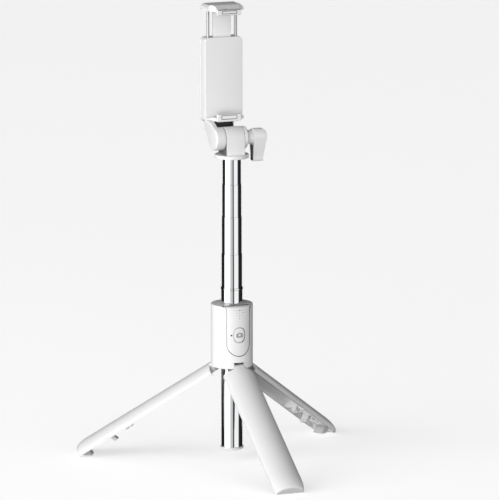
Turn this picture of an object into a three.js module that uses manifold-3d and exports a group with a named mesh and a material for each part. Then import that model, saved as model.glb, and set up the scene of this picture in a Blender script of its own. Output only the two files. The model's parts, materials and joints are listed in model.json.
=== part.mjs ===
// A folding selfie stick that opens into a table tripod.
//
// Millimetres, +Z up. Heights below are measured from the floor, on the stick's axis, and the whole
// stick is then lowered so that its origin is the middle of the end cap's flat underside. The front,
// where the remote and the phone's screen face, is -Y. The tripod is open and the telescopic tube is
// partly drawn out.

import * as THREE from "three";
import { mergeVertices } from "three/addons/utils/BufferGeometryUtils.js";
import Module from "manifold-3d";

const wasm = await Module();
wasm.setup();

// ---------------------------------------------------------------- driving dimensions

const GAP = 0.3;              // space left between neighbouring pieces
const FIT = 0.08;             // radial clearance of a pin in its hole

const hub = { radius: 14.25, bottom: 66, top: 109.2, wall: 1.8, topWall: 2.0 };

const leg = {
  azimuths: { front: 270, right: 30, left: 150 },
  slope: 33,                  // degrees below level when open
  pivotRadius: 10.0,          // hinge pin, from the stick's axis
  outerLineHeight: 68.07,     // where the leg's back line meets the hub's surface
  halfAngle: 50,              // the shell's arc, either side of its middle
  depth: 7.65,                // from the back line to the rim
  wall: 1.4,
  rootStart: 4.2,             // the shell starts this far from the pin; the tongue alone reaches it
  tipLength: 10,
  tipWidthScale: 0.85,
  tipHeightScale: 0.67,
  tongueHalf: 3.5,
  tongueDrop: 0.45,           // the tongue's back falls this much towards the pin
};

const tube = {
  bottom: 9.8,
  tops: [119.0, 143.6, 169.25, 191.5, 209.3],      // outer tube first, thinnest section last
  radii: [7.2, 6.95, 6.7, 6.45, 6.2],
  lengths: [109.2, 104, 101, 98, 95],
  wall: 0.19,
  facets: 36,
};

const capBottom = 8.1;

const head = {
  tiltHeight: 222.9,
  barrelRadius: 7.75,
  discRadius: 11.6,
  discBottom: 209.6,
  discTop: 212.0,
  blockHalf: 6.6,
};

const clamp = {
  gripBottom: 236.3,          // lower edge of the gripped phone
  gripHeight: 70.9,           // phone width between the jaws
  gripFront: 6.2,
  gripBack: 14.3,
  lipFront: 3.9,
  lipHalf: 8.6,
  bodyHalf: 13.6,
  bodyBottom: 231.5,
  bodyTop: 289.5,
  coverFront: 22.9,
  coverBack: 24.5,
  jawTop: 312.2,
};

const remote = { half: 8.2, bottom: 74.95, flare: 3.0, back: 8.6, wall: 1.0, buttonHeight: 89.5 };

// ---------------------------------------------------------------- materials

const finish = (color, roughness, metalness) =>
  new THREE.MeshStandardMaterial({ color, roughness, metalness });

const whitePlastic = finish(0xf0f0f0, 0.35, 0);
const nylon = finish(0xd8d8d2, 0.5, 0);
const chrome = finish(0xd5d7da, 0.08, 1);
const steel = finish(0x9a9da0, 0.35, 1);
const brass = finish(0xb59a55, 0.35, 1);
const padRubber = finish(0xb8b8b8, 0.8, 0);
const footRubber = finish(0x8c8c8c, 0.85, 0);
const boardGreen = finish(0x1f5a34, 0.6, 0);
const darkPlastic = finish(0x26282b, 0.5, 0);

// ---------------------------------------------------------------- solids

const rad = THREE.MathUtils.degToRad;

// A closed geometry as a manifold-3d solid.
function solid(geometry) {
  const bare = geometry.clone();
  for (const name of Object.keys(bare.attributes)) {
    if (name !== "position") bare.deleteAttribute(name);
  }
  const merged = mergeVertices(bare, 1e-4);
  return new wasm.Manifold(new wasm.Mesh({
    numProp: 3,
    vertProperties: new Float32Array(merged.attributes.position.array),
    triVerts: new Uint32Array(merged.index.array),
  }));
}

// A solid back as a geometry.
function geometryOf(shape) {
  const mesh = shape.getMesh();
  const geometry = new THREE.BufferGeometry();
  geometry.setAttribute("position", new THREE.BufferAttribute(mesh.vertProperties, 3));
  geometry.setIndex(new THREE.BufferAttribute(mesh.triVerts, 1));
  geometry.computeVertexNormals();
  return geometry;
}

const join = (first, ...rest) => rest.reduce((sum, next) => sum.add(next), first);
const cut = (first, ...rest) => rest.reduce((left, next) => left.subtract(next), first);

function box(x, y, z) {
  const geometry = new THREE.BoxGeometry(x[1] - x[0], y[1] - y[0], z[1] - z[0]);
  geometry.translate((x[0] + x[1]) / 2, (y[0] + y[1]) / 2, (z[0] + z[1]) / 2);
  return solid(geometry);
}

// A profile of [radius, height] points turned about Z. Ring profiles close on themselves.
function turned(points, facets = 36, ring = false) {
  const profile = points.map(([r, z]) => new THREE.Vector2(r, z));
  if (ring) profile.push(profile[0].clone());
  const geometry = new THREE.LatheGeometry(profile, facets);
  geometry.rotateX(Math.PI / 2);
  return solid(geometry);
}

const rod = (radius, low, high, facets = 36) =>
  turned([[0, low], [radius, low], [radius, high], [0, high]], facets);

const pipe = (outer, inner, low, high, facets = 36) =>
  turned([[inner, low], [outer, low], [outer, high], [inner, high]], facets, true);

// A shape drawn in (u, v), extruded from low to high along its third direction.
function extruded(points, low, high, frame) {
  const outline = new THREE.Shape(points.map(([u, v]) => new THREE.Vector2(u, v)));
  const geometry = new THREE.ExtrudeGeometry(outline, { depth: high - low, bevelEnabled: false });
  geometry.translate(0, 0, low);
  geometry.applyMatrix4(frame);
  return solid(geometry);
}

const basis = (u, v, w) => new THREE.Matrix4().makeBasis(
  new THREE.Vector3(...u), new THREE.Vector3(...v), new THREE.Vector3(...w));

const ALONG_X = basis([0, 1, 0], [0, 0, 1], [1, 0, 0]);      // drawn in (y, z)
const ALONG_Y = basis([-1, 0, 0], [0, 0, 1], [0, 1, 0]);     // drawn in (-x, z)
const ACROSS_LEG = basis([1, 0, 0], [0, 0, 1], [0, -1, 0]);  // drawn in (x, z), along -y
const ALONG_Z = new THREE.Matrix4();

const arc = (cx, cy, radius, from, to, steps) =>
  Array.from({ length: steps + 1 }, (_, i) => {
    const angle = rad(from + (to - from) * i / steps);
    return [cx + radius * Math.cos(angle), cy + radius * Math.sin(angle)];
  });

function moved(shape, matrix) {
  const geometry = geometryOf(shape);
  geometry.applyMatrix4(matrix);
  return solid(geometry);
}

const turnZ = (degrees) => new THREE.Matrix4().makeRotationZ(rad(degrees));
const shift = (x, y, z) => new THREE.Matrix4().makeTranslation(x, y, z);

// A round rod along X or Y through a point.
const rodX = (radius, low, high, y, z, facets = 24) =>
  moved(rod(radius, low, high, facets), shift(0, y, z).multiply(
    new THREE.Matrix4().makeRotationY(Math.PI / 2)));
const rodY = (radius, low, high, x, z, facets = 24) =>
  moved(rod(radius, low, high, facets), shift(x, 0, z).multiply(
    new THREE.Matrix4().makeRotationX(-Math.PI / 2)));

const stick = new THREE.Group();
stick.position.z = -capBottom;

function piece(name, shape, material, parent = stick) {
  const mesh = new THREE.Mesh(geometryOf(shape), material);
  mesh.name = name;
  parent.add(mesh);
}

// ---------------------------------------------------------------- leg geometry, worked out

const slope = rad(leg.slope);
const backLine = hub.radius - leg.pivotRadius;               // pivot to the leg's back line
const pivotHeight = leg.outerLineHeight - backLine * (1 - Math.sin(slope)) / Math.cos(slope);
const rimLine = backLine - leg.depth;
const footClear = 0.3;                                       // the shell's rim stops above the floor
const notchRise = 1.1;                                       // free height above the tongue
const notchTop = pivotHeight + backLine * Math.cos(slope) + notchRise;
const legLength = (pivotHeight - footClear + rimLine * Math.cos(slope)) / Math.sin(slope);
const foldAngle = 90 - leg.slope;

// Height of the floor in the leg's own frame, at a distance along the leg.
const floorLine = (along) => (along * Math.sin(slope) - pivotHeight) / Math.cos(slope);

// ---------------------------------------------------------------- hub

// The remote's outline in (x, z): a half-round bottom, straight sides and a flared top.
function remoteOutline(inset, top) {
  const half = remote.half - inset;
  const round = remote.bottom + remote.half;
  const flareHeight = hub.top - remote.flare;
  const flareRadius = remote.flare + inset;
  const centre = remote.half + remote.flare;
  const right = arc(centre, flareHeight, flareRadius, 180, 90, 6).filter(([, z]) => z < top - 0.01);
  const edge = right[right.length - 1][0];
  return [
    ...arc(0, round, half, 180, 360, 18),
    ...right,
    [edge + (top - right[right.length - 1][1]) * 0.5, top],
    [-edge - (top - right[right.length - 1][1]) * 0.5, top],
    ...right.map(([x, z]) => [-x, z]).reverse(),
  ];
}

const pocketBack = remote.back - GAP;
const pocketWall = 0.7;

function hubShell() {
  const inner = hub.radius - hub.wall;
  const casing = cut(
    rod(hub.radius, hub.bottom, hub.top, 72),
    rod(inner, hub.bottom - 1, hub.top - hub.topWall, 36));
  const pocketBlock = box([-remote.half - 1.2, remote.half + 1.2], [-20, -pocketBack + pocketWall],
    [remote.bottom - 1.2, hub.top - 1]).intersect(rod(hub.radius - 0.3, 60, 120, 72));
  const pocket = extruded(remoteOutline(-0.15, hub.top + 2), -20, -pocketBack, ALONG_Y);
  const bore = rod(tube.radii[0] + 0.1, hub.bottom, hub.top + 1, tube.facets);
  const notches = Object.values(leg.azimuths).map((azimuth) => moved(
    box([inner - 1, hub.radius + 1], [-leg.tongueHalf - GAP, leg.tongueHalf + GAP],
      [hub.bottom - 1, notchTop]), turnZ(azimuth)));
  return cut(join(casing, pocketBlock), pocket, bore, ...notches);
}

const lugHalf = 6.6;
const lugRadius = 2.15;
const bracketRadius = 12.15;
const bracketTop = 72.2;
const pinRadius = 0.9;

// The ring inside the hub's skirt that carries the three hinge pins in pairs of lugs.
function legBracket() {
  const ring = rod(bracketRadius, hub.bottom + GAP, bracketTop);
  const lugOutline = [
    ...arc(leg.pivotRadius, pivotHeight, lugRadius, 180, 360, 8),
    [leg.pivotRadius + lugRadius, hub.bottom + 2],
    [leg.pivotRadius - lugRadius, hub.bottom + 2],
  ];
  const lug = extruded(lugOutline, -lugHalf, lugHalf, ACROSS_LEG);
  const slotHalf = leg.tongueHalf + GAP;
  const slot = box([tube.radii[0], hub.radius], [-slotHalf, slotHalf], [60, notchTop]);
  const pinHole = moved(rod(pinRadius + FIT, -10, 10, 16),
    shift(leg.pivotRadius, 0, pivotHeight).multiply(new THREE.Matrix4().makeRotationX(Math.PI / 2)));
  const azimuths = Object.values(leg.azimuths);
  const lugs = azimuths.map((azimuth) => moved(lug, turnZ(azimuth)));
  const limit = rod(bracketRadius, 55, 80);
  const body = join(ring, ...lugs).intersect(limit);
  return cut(body,
    rod(tube.radii[0] + 0.1, 50, 90, tube.facets),
    ...azimuths.map((azimuth) => moved(slot, turnZ(azimuth))),
    ...azimuths.map((azimuth) => moved(pinHole, turnZ(azimuth))));
}

piece("hub_shell", hubShell(), whitePlastic);
piece("leg_bracket", legBracket(), nylon);

// ---------------------------------------------------------------- legs

// Rings of the same number of [y, z] points at stations along X, skinned into a closed solid.
function loft(stations) {
  const count = stations[0].ring.length;
  const positions = stations.flatMap(({ x, ring }) => ring.flatMap(([y, z]) => [x, y, z]));
  const index = [];
  for (let i = 0; i + 1 < stations.length; i += 1) {
    for (let j = 0; j < count; j += 1) {
      const a = i * count + j;
      const b = i * count + (j + 1) % count;
      index.push(a, b, a + count, b, b + count, a + count);
    }
  }
  const last = (stations.length - 1) * count;
  const faces = THREE.ShapeUtils.triangulateShape(
    stations[0].ring.map(([y, z]) => new THREE.Vector2(y, z)), []);
  for (const [a, b, c] of faces) {
    index.push(a, c, b, last + a, last + b, last + c);
  }
  const geometry = new THREE.BufferGeometry();
  geometry.setAttribute("position", new THREE.Float32BufferAttribute(positions, 3));
  geometry.setIndex(index);
  return solid(geometry);
}

// The leg's section, inset from its outside: an arc over two short straight sides.
function legSection(inset, widthScale, heightScale, rim) {
  const half = hub.radius * Math.sin(rad(leg.halfAngle)) - inset;
  const radius = hub.radius - inset;
  const spread = THREE.MathUtils.radToDeg(Math.asin(half / radius));
  const crown = arc(0, -leg.pivotRadius, radius, 90 - spread, 90 + spread, 14);
  const ring = [...crown, [-half, rim], [half, rim]];
  return ring.map(([y, z]) => [y * widthScale, rimLine + (z - rimLine) * heightScale]);
}

// The closed outer form of the leg, rounded at the tip, or the cavity within it.
function legForm(inset, from, to, rim) {
  const roundSteps = 4;
  const stations = [{ x: from, ring: legSection(inset, 1, 1, rim) }];
  for (let i = 0; i <= roundSteps; i += 1) {
    const angle = rad(90 * i / roundSteps);
    const drop = 1 - Math.cos(angle);
    const x = to - leg.tipLength + leg.tipLength * Math.sin(angle);
    const widthScale = 1 - (1 - leg.tipWidthScale) * drop;
    const heightScale = 1 - (1 - leg.tipHeightScale) * drop;
    stations.push({ x, ring: legSection(inset, widthScale, heightScale, rim) });
  }
  return loft(stations);
}

// The hub's skirt and what is above it, as the leg meets it while it folds, in the leg's frame.
function hubSweep() {
  const skirt = rod(hub.radius + 0.4, hub.bottom - 0.35, hub.bottom + 26, 24);
  const steps = 3;
  const views = Array.from({ length: steps + 1 }, (_, i) => {
    const toLeg = new THREE.Matrix4().makeRotationY(-slope - rad(foldAngle * i / steps));
    return moved(skirt, toLeg.multiply(shift(-leg.pivotRadius, 0, -pivotHeight)));
  });
  return join(...views);
}

// One third of the folded stick, less half a gap at each side.
const sector = (() => {
  const reach = 30;
  const width = reach * Math.tan(rad(60));
  const apex = -leg.pivotRadius + 0.6;
  return extruded([[0, apex], [width, apex + reach], [-width, apex + reach]], -20, 140, ALONG_X);
})();

function legShell() {
  const outer = legForm(0, leg.rootStart, legLength, rimLine);
  const cavity = legForm(leg.wall, -1, legLength - leg.wall, rimLine - 1);
  const shell = cut(outer, cavity, hubSweep());
  const tongueBack = 2.6;                                  // keeps the tongue clear of the tube
  const tongueOutline = [
    [0, -tongueBack],
    [10, -tongueBack],
    [15, backLine - leg.wall],
    [15, backLine - 0.05],
    [leg.rootStart, backLine - 0.05],
    [0, backLine - leg.tongueDrop],
    ...arc(0, 0, tongueBack, 110, 270, 8).slice(0, -1),
  ];
  const tongue = extruded(tongueOutline, -leg.tongueHalf, leg.tongueHalf, ACROSS_LEG)
    .intersect(legForm(0, -6, legLength, rimLine));
  const ribAt = (along) => cut(
    box([along, along + 1.2], [-12, 12], [rimLine, backLine]).intersect(outer),
    rodX(8.3, along - 1, along + 3, 0, -leg.pivotRadius, 32));
  const nub = (along) => box([along, along + 2], [-1.6, 1.6], [rimLine - 2, backLine - 1]);
  const hook = extruded([
    [88, backLine - 1],
    [88, rimLine - 1.5],
    [86.8, rimLine - 4.4],
    [89.6, rimLine - 4.4],
    [90.4, rimLine - 1.5],
    [90.4, backLine - 1],
  ], -2.6, 2.6, ACROSS_LEG);
  const post = cut(
    box([98.4, 99.8], [-3, 3], [rimLine + 0.2, backLine - 1]),
    rodX(0.9, 97, 101, 0, rimLine + 2, 16));
  const pinHole = moved(rod(pinRadius + FIT, -10, 10, 16),
    new THREE.Matrix4().makeRotationX(Math.PI / 2));
  return join(shell, tongue, ribAt(74.5), ribAt(84.5), nub(72.8), nub(76.3), hook, post)
    .intersect(sector)
    .subtract(pinHole);
}

// The grip under the tip: its underside lies flat on the floor when the leg is open.
function footPad() {
  const inner = legLength - 6.8;
  const outer = legLength - leg.wall - GAP;
  const ceiling = rimLine + 2.2;
  const padHalf = 4.0;
  const outline = [
    [inner, floorLine(inner)],
    [outer, floorLine(outer)],
    [outer, ceiling],
    [inner + 1.2, ceiling],
    [inner, rimLine],
  ];
  const slotStart = legLength - 5.4;
  const slot = box([slotStart, slotStart + 1.6], [-2.6, 2.6], [-20, floorLine(slotStart) + 1.6]);
  return cut(extruded(outline, -padHalf, padHalf, ACROSS_LEG), slot).intersect(sector);
}

const legSolid = legShell();
const padSolid = footPad();
const pinSolid = moved(rod(pinRadius, -lugHalf + 0.4, lugHalf - 0.4, 16),
  new THREE.Matrix4().makeRotationX(Math.PI / 2));

for (const [side, azimuth] of Object.entries(leg.azimuths)) {
  const arm = new THREE.Group();
  arm.rotation.z = rad(azimuth);
  const pivot = new THREE.Group();
  pivot.position.set(leg.pivotRadius, 0, pivotHeight);
  const open = new THREE.Group();
  open.rotation.y = slope;
  pivot.add(open);
  arm.add(pivot);
  stick.add(arm);
  piece(`leg_shell_${side}`, legSolid, whitePlastic, open);
  piece(`foot_pad_${side}`, padSolid, footRubber, open);
  piece(`leg_pin_${side}`, pinSolid, steel, pivot);
}

// ---------------------------------------------------------------- telescopic tube

const innerRadius = (i) => tube.radii[i] - tube.wall;

piece("outer_tube",
  pipe(tube.radii[0], innerRadius(0), tube.bottom, tube.tops[0], tube.facets), chrome);
piece("tube_collar",
  pipe(tube.radii[0] + 0.3, tube.radii[0] - 0.18, tube.tops[0] + 0.05, tube.tops[0] + 1.2,
    tube.facets), chrome);
piece("tube_end_cap", turned([
  [0, capBottom], [7.5, capBottom], [7.95, 8.5], [7.95, 9.5], [6.8, 9.5], [6.8, 12.5],
  [5.6, 12.5], [5.6, 10.2], [0, 10.2],
]), whitePlastic);

// Each drawn section has a friction bushing under its lower end.
for (let i = 1; i < tube.radii.length; i += 1) {
  const number = tube.radii.length - i;
  const bottom = tube.tops[i] - tube.lengths[i];
  piece(`tube_section_${number}`,
    pipe(tube.radii[i], innerRadius(i), bottom, tube.tops[i], tube.facets), chrome);
  piece(`tube_bushing_${number}`,
    pipe(tube.radii[i], innerRadius(i) - 0.4, bottom - 2.6, bottom - 0.1, tube.facets / 2), nylon);
}

// ---------------------------------------------------------------- tilt head

piece("swivel_post", turned([
  [0, 198], [innerRadius(4) - 0.1, 198], [innerRadius(4) - 0.1, 209.2], [2.5, 209.2],
  [2.5, 214.0], [2.0, 214.0], [2.0, 215.0], [2.5, 215.0], [2.5, 215.8], [0, 215.8],
]), steel);
piece("swivel_clip", pipe(4.0, 2.1, 214.1, 214.9, 20), steel);

function headBase() {
  const base = turned([
    [0, head.discBottom], [head.discRadius, head.discBottom],
    [head.discRadius, head.discTop - 0.4], [head.discRadius - 0.4, head.discTop], [0, head.discTop],
  ], 60);
  const r = head.barrelRadius;
  const side = [
    [-r, head.discTop - 1],
    [r, head.discTop - 1],
    ...arc(0, head.tiltHeight, r, 0, 180, 24),
  ];
  const block = extruded(side, -head.blockHalf, head.blockHalf, ALONG_X);
  return cut(join(base, block),
    rod(2.6, 200, 214.5, 20),
    rod(4.6, 214.0, head.tiltHeight, 24),
    rodX(2.15, -10, 10, 0, head.tiltHeight));
}

piece("head_base", headBase(), whitePlastic);

const washerLeft = head.blockHalf + 0.25;
const washerRight = 9.6;
const washerRadius = head.barrelRadius - 0.1;
piece("tilt_washer", cut(
  moved(turned([
    [0, washerLeft], [washerRadius, washerLeft], [washerRadius, washerRight - 0.8],
    [washerRadius - 0.8, washerRight], [0, washerRight],
  ]), shift(0, 0, head.tiltHeight).multiply(new THREE.Matrix4().makeRotationY(Math.PI / 2))),
  rodX(2.15, 0, 20, 0, head.tiltHeight)), whitePlastic);

piece("tilt_bolt", rodX(2.0, -12.2, 19.5, 0, head.tiltHeight), steel);
piece("tilt_nut", cut(
  moved(rod(3.6, -12.5, -9.7, 6),
    shift(0, 0, head.tiltHeight).multiply(new THREE.Matrix4().makeRotationY(Math.PI / 2))),
  rodX(2.0 + FIT, -20, 0, 0, head.tiltHeight)), brass);

const knob = {
  left: 9.9,
  body: 14.6,
  right: 23.4,
  radius: 5.7,
  tabHalf: 2.9,
  tip: 206.2,
  slant: 1.9,                 // the outer side leans in this much towards the tip
  corner: 3.0,                // rounding of the outer top edge
};

function wingKnob() {
  const collar = rodX(4.7, knob.left, knob.body + 0.5, 0, head.tiltHeight);
  const teardrop = extruded([
    ...arc(0, head.tiltHeight, knob.radius, -10, 190, 24),
    [-knob.tabHalf, knob.tip + 0.8],
    [-knob.tabHalf + 0.8, knob.tip],
    [knob.tabHalf - 0.8, knob.tip],
    [knob.tabHalf, knob.tip + 0.8],
  ], knob.body, knob.right, ALONG_X);
  const side = extruded([
    [knob.body - 1, knob.tip - 1],
    [knob.right - knob.slant, knob.tip - 1],
    [knob.right, head.tiltHeight],
    ...arc(knob.right - knob.corner, head.tiltHeight + knob.radius - knob.corner, knob.corner,
      0, 90, 6),
    [knob.body - 1, head.tiltHeight + knob.radius],
  ], -20, 20, ACROSS_LEG);
  return cut(join(collar, teardrop.intersect(side)), rodX(2.3, 0, 20, 0, head.tiltHeight));
}

piece("wing_knob", wingKnob(), whitePlastic);

// ---------------------------------------------------------------- phone clamp

const gripTop = clamp.gripBottom + clamp.gripHeight;
const padDepth = 0.5;
const slider = { half: 6.4, front: 17.2, back: 19.2, bottom: 258 };
const guide = { side: 10, depth: 18.2, radius: 1.0, bottom: 251, collarTop: 252.5 };
const bossSides = [-5, 5];
const bossHeight = 237;

// Plan outline of a jaw in (x, y): a narrow lip that widens to the body through curved shoulders.
function jawPlan(back) {
  const sweep = clamp.bodyHalf - clamp.lipHalf;
  const shoulder = clamp.gripBack - 2.3;
  const right = arc(clamp.bodyHalf, shoulder - sweep, sweep, 180, 90, 8);
  return [
    [-clamp.lipHalf, clamp.lipFront],
    [clamp.lipHalf, clamp.lipFront],
    ...right,
    [clamp.bodyHalf, back],
    [-clamp.bodyHalf, back],
    ...right.map(([x, y]) => [-x, y]).reverse(),
  ];
}

// Body outline in (-x, z) with rounded corners.
function bodyOutline(half, low, high, radius) {
  return [
    ...arc(half - radius, low + radius, radius, 270, 360, 6),
    ...arc(half - radius, high - radius, radius, 0, 90, 6),
    ...arc(-half + radius, high - radius, radius, 90, 180, 6),
    ...arc(-half + radius, low + radius, radius, 180, 270, 6),
  ];
}

function clampFrame() {
  const axis = head.tiltHeight;
  const earLeft = -13.8;
  const earRight = -head.blockHalf - 0.35;
  const barrel = moved(turned([
    [0, earLeft], [head.barrelRadius - 1.2, earLeft], [head.barrelRadius, earLeft + 1.2],
    [head.barrelRadius, earRight], [0, earRight],
  ]), shift(0, 0, axis).multiply(new THREE.Matrix4().makeRotationY(Math.PI / 2)));
  const web = extruded([
    [-2, axis + 7.4],
    [0, axis - 1],
    [6.5, axis - 4],
    [clamp.gripBack + 1, axis + 5],
    [clamp.gripBack + 1, clamp.bodyBottom + 2],
    [5, clamp.bodyBottom + 1.9],
  ], earLeft, earLeft + 3.4, ALONG_X);
  const neck = box([earLeft, 5], [8.4, clamp.gripBack + 1], [axis + 5, clamp.bodyBottom + 2.2]);
  const body = extruded(bodyOutline(clamp.bodyHalf, clamp.bodyBottom, clamp.bodyTop, 3),
    clamp.gripBack, clamp.coverFront - 0.1, ALONG_Y);
  const hollow = box([-12.2, 12.2], [15.6, 30], [233.2, clamp.bodyTop - 1.5]);
  const throat = box([-slider.half - GAP, slider.half + GAP],
    [slider.front - GAP, slider.back + GAP], [clamp.bodyTop - 5, clamp.bodyTop + 5]);
  const platform = extruded(jawPlan(clamp.gripBack + 1), clamp.bodyBottom + 1.9,
    clamp.gripBottom - padDepth - 0.2, ALONG_Z);
  const lip = box([-clamp.lipHalf, clamp.lipHalf], [clamp.lipFront, clamp.gripFront],
    [clamp.bodyBottom + 1.9, clamp.gripBottom + 2.3]);
  const panel = box([-6, 5.6], [clamp.lipFront - 1, clamp.lipFront + 0.4], [235.2, 238.1]);
  const bosses = bossSides.map((x) => rodY(2.1, 15, clamp.coverFront - 0.2, x, bossHeight));
  const threads = bossSides.map((x) => rodY(1.0, 16.5, 30, x, bossHeight, 16));
  const guideHoles = [-guide.side, guide.side].map((x) => moved(
    rod(guide.radius + 0.1, clamp.bodyTop - 5, clamp.bodyTop + 5, 24), shift(x, guide.depth, 0)));
  const nutPocket = moved(rod(3.9, -12.8, 0, 6),
    shift(0, 0, axis).multiply(new THREE.Matrix4().makeRotationY(Math.PI / 2)));
  const shell = cut(join(barrel, web, neck, body, platform, lip), hollow, throat, panel,
    ...guideHoles, nutPocket);
  return cut(join(shell, ...bosses), ...threads);
}

piece("clamp_frame", clampFrame(), whitePlastic);

piece("clamp_back_cover", cut(
  extruded(bodyOutline(clamp.bodyHalf, clamp.bodyBottom, clamp.bodyTop, 3),
    clamp.coverFront, clamp.coverBack, ALONG_Y),
  ...bossSides.flatMap((x) => [
    rodY(1.1, 20, 30, x, bossHeight, 24),
    rodY(2.1, clamp.coverBack - 0.9, 30, x, bossHeight, 24),
  ])), whitePlastic);

for (const [side, x] of [["left", bossSides[0]], ["right", bossSides[1]]]) {
  piece(`cover_screw_${side}`, join(
    rodY(0.8, 17.5, clamp.coverBack - 0.4, x, bossHeight, 16),
    rodY(1.8, clamp.coverBack - 0.7, clamp.coverBack - 0.1, x, bossHeight, 24)), steel);
}

piece("jaw_pad_lower", box([-7, 7], [clamp.gripFront + 0.3, clamp.gripBack - 0.3],
  [clamp.gripBottom - padDepth - 0.1, clamp.gripBottom - 0.05]), padRubber);
piece("jaw_pad_upper", box([-7, 7], [clamp.gripFront + 0.3, clamp.gripBack - 0.3],
  [gripTop + 0.05, gripTop + padDepth + 0.1]), padRubber);

function upperJaw() {
  const roof = extruded(jawPlan(clamp.coverBack), gripTop + padDepth + 0.2, clamp.jawTop, ALONG_Z)
    .intersect(extruded(bodyOutline(clamp.bodyHalf, gripTop - 10, clamp.jawTop, 4),
      0, clamp.coverBack, ALONG_Y));
  const lip = box([-clamp.lipHalf, clamp.lipHalf], [clamp.lipFront, clamp.gripFront],
    [gripTop - 1.3, clamp.jawTop - 1.2]);
  const frontBevel = extruded([
    [clamp.lipFront - 1, clamp.jawTop - 2.2],
    [clamp.lipFront + 4.5, clamp.jawTop + 0.1],
    [clamp.lipFront - 1, clamp.jawTop + 0.1],
  ], -20, 20, ALONG_X);
  const panel = box([-5.6, 5.6], [clamp.lipFront - 1, clamp.lipFront + 0.4], [306.8, 309.2]);
  const plate = box([-slider.half, slider.half], [slider.front, slider.back],
    [slider.bottom, clamp.jawTop - 1]);
  const sockets = [-guide.side, guide.side].map((x) => moved(
    rod(guide.radius + 0.1, gripTop, clamp.jawTop - 1.4, 24), shift(x, guide.depth, 0)));
  return cut(join(roof, lip, plate), frontBevel, panel, ...sockets);
}

piece("upper_jaw", upperJaw(), whitePlastic);

// A round wire wound about Z from low to high.
function helix(radius, low, high, turns) {
  const steps = turns * 8;
  const points = Array.from({ length: steps + 1 }, (_, i) => {
    const angle = 2 * Math.PI * turns * i / steps;
    return new THREE.Vector3(radius * Math.cos(angle), radius * Math.sin(angle),
      low + (high - low) * i / steps);
  });
  return new THREE.CatmullRomCurve3(points);
}

const wire = 0.28;
const springRadius = 1.6;
const springLow = guide.collarTop + wire + 0.2;
const springHigh = clamp.bodyTop - 1.5 - wire - 0.2;
const springTurns = 7;
const wirePoints = arc(0, 0, wire, 0, 270, 3).map(([x, y]) => new THREE.Vector2(x, y));
const wireSection = new THREE.Shape(wirePoints);
const springSolid = solid(new THREE.ExtrudeGeometry(wireSection, {
  steps: springTurns * 8,
  extrudePath: helix(springRadius, springLow, springHigh, springTurns),
}));
const guideSolid = join(
  rod(guide.radius, guide.bottom, clamp.jawTop - 1.6, 24),
  rod(1.95, guide.bottom, guide.collarTop, 24));

for (const [side, x] of [["left", -guide.side], ["right", guide.side]]) {
  piece(`guide_rod_${side}`, moved(guideSolid, shift(x, guide.depth, 0)), steel);
  piece(`clamp_spring_${side}`, moved(springSolid, shift(x, guide.depth, 0)), steel);
}

// ---------------------------------------------------------------- wireless remote

const remoteJoint = remote.back + 0.8;                       // front face of the back cover
const buttonHalf = 4.0;
const buttonRise = 5.3;
const lightSide = -5.45;

const oval = (grow) => Array.from({ length: 24 }, (_, i) => {
  const angle = 2 * Math.PI * i / 24;
  return [
    (buttonHalf + grow) * Math.cos(angle),
    remote.buttonHeight + (buttonRise + grow) * Math.sin(angle),
  ];
});

function remoteFront() {
  const skin = hub.radius - remote.wall;
  const outer = extruded(remoteOutline(0.05, hub.top), -20, -remoteJoint - 0.05, ALONG_Y)
    .intersect(rod(hub.radius, 60, 120, 72));
  const cavity = extruded(remoteOutline(remote.wall, hub.top - 0.8), -20, -remoteJoint + 1, ALONG_Y)
    .intersect(rod(skin, 60, 120, 36));
  return cut(outer, cavity,
    extruded(oval(0.15), -20, -11, ALONG_Y),
    rodY(0.7, -20, -11, lightSide, remote.buttonHeight, 16));
}

const cellRadius = 6.25;
const cellHeight = 101.85;

piece("remote_front", remoteFront(), whitePlastic);
piece("remote_back",
  extruded(remoteOutline(0.05, hub.top), -remoteJoint + 0.05, -remote.back, ALONG_Y),
  whitePlastic);
piece("remote_board", extruded([
  ...arc(0, 83.1, 6.6, 180, 360, 16),
  [6.6, 95.3],
  [-6.6, 95.3],
], -10.3, -9.6, ALONG_Y), boardGreen);
piece("remote_switch", join(
  box([-2.4, 2.4], [-11.1, -10.4], [remote.buttonHeight - 2.4, remote.buttonHeight + 2.4]),
  rodY(1.2, -11.3, -10.8, 0, remote.buttonHeight, 16)), darkPlastic);
piece("remote_light_pipe", rodY(0.5, -13.15, -10.45, lightSide, remote.buttonHeight, 16), nylon);
piece("coin_cell", rodY(cellRadius, -11.3, -9.7, 0, cellHeight, 40), steel);
piece("remote_button", join(
  extruded(oval(0), -20, -12.0, ALONG_Y).intersect(rod(hub.radius + 0.1, 60, 120, 72)),
  extruded(oval(0.5), -12.3, -11.8, ALONG_Y)), whitePlastic);

const model = new THREE.Group();
model.add(stick);

export default model;
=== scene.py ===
# %% [markdown]
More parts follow.
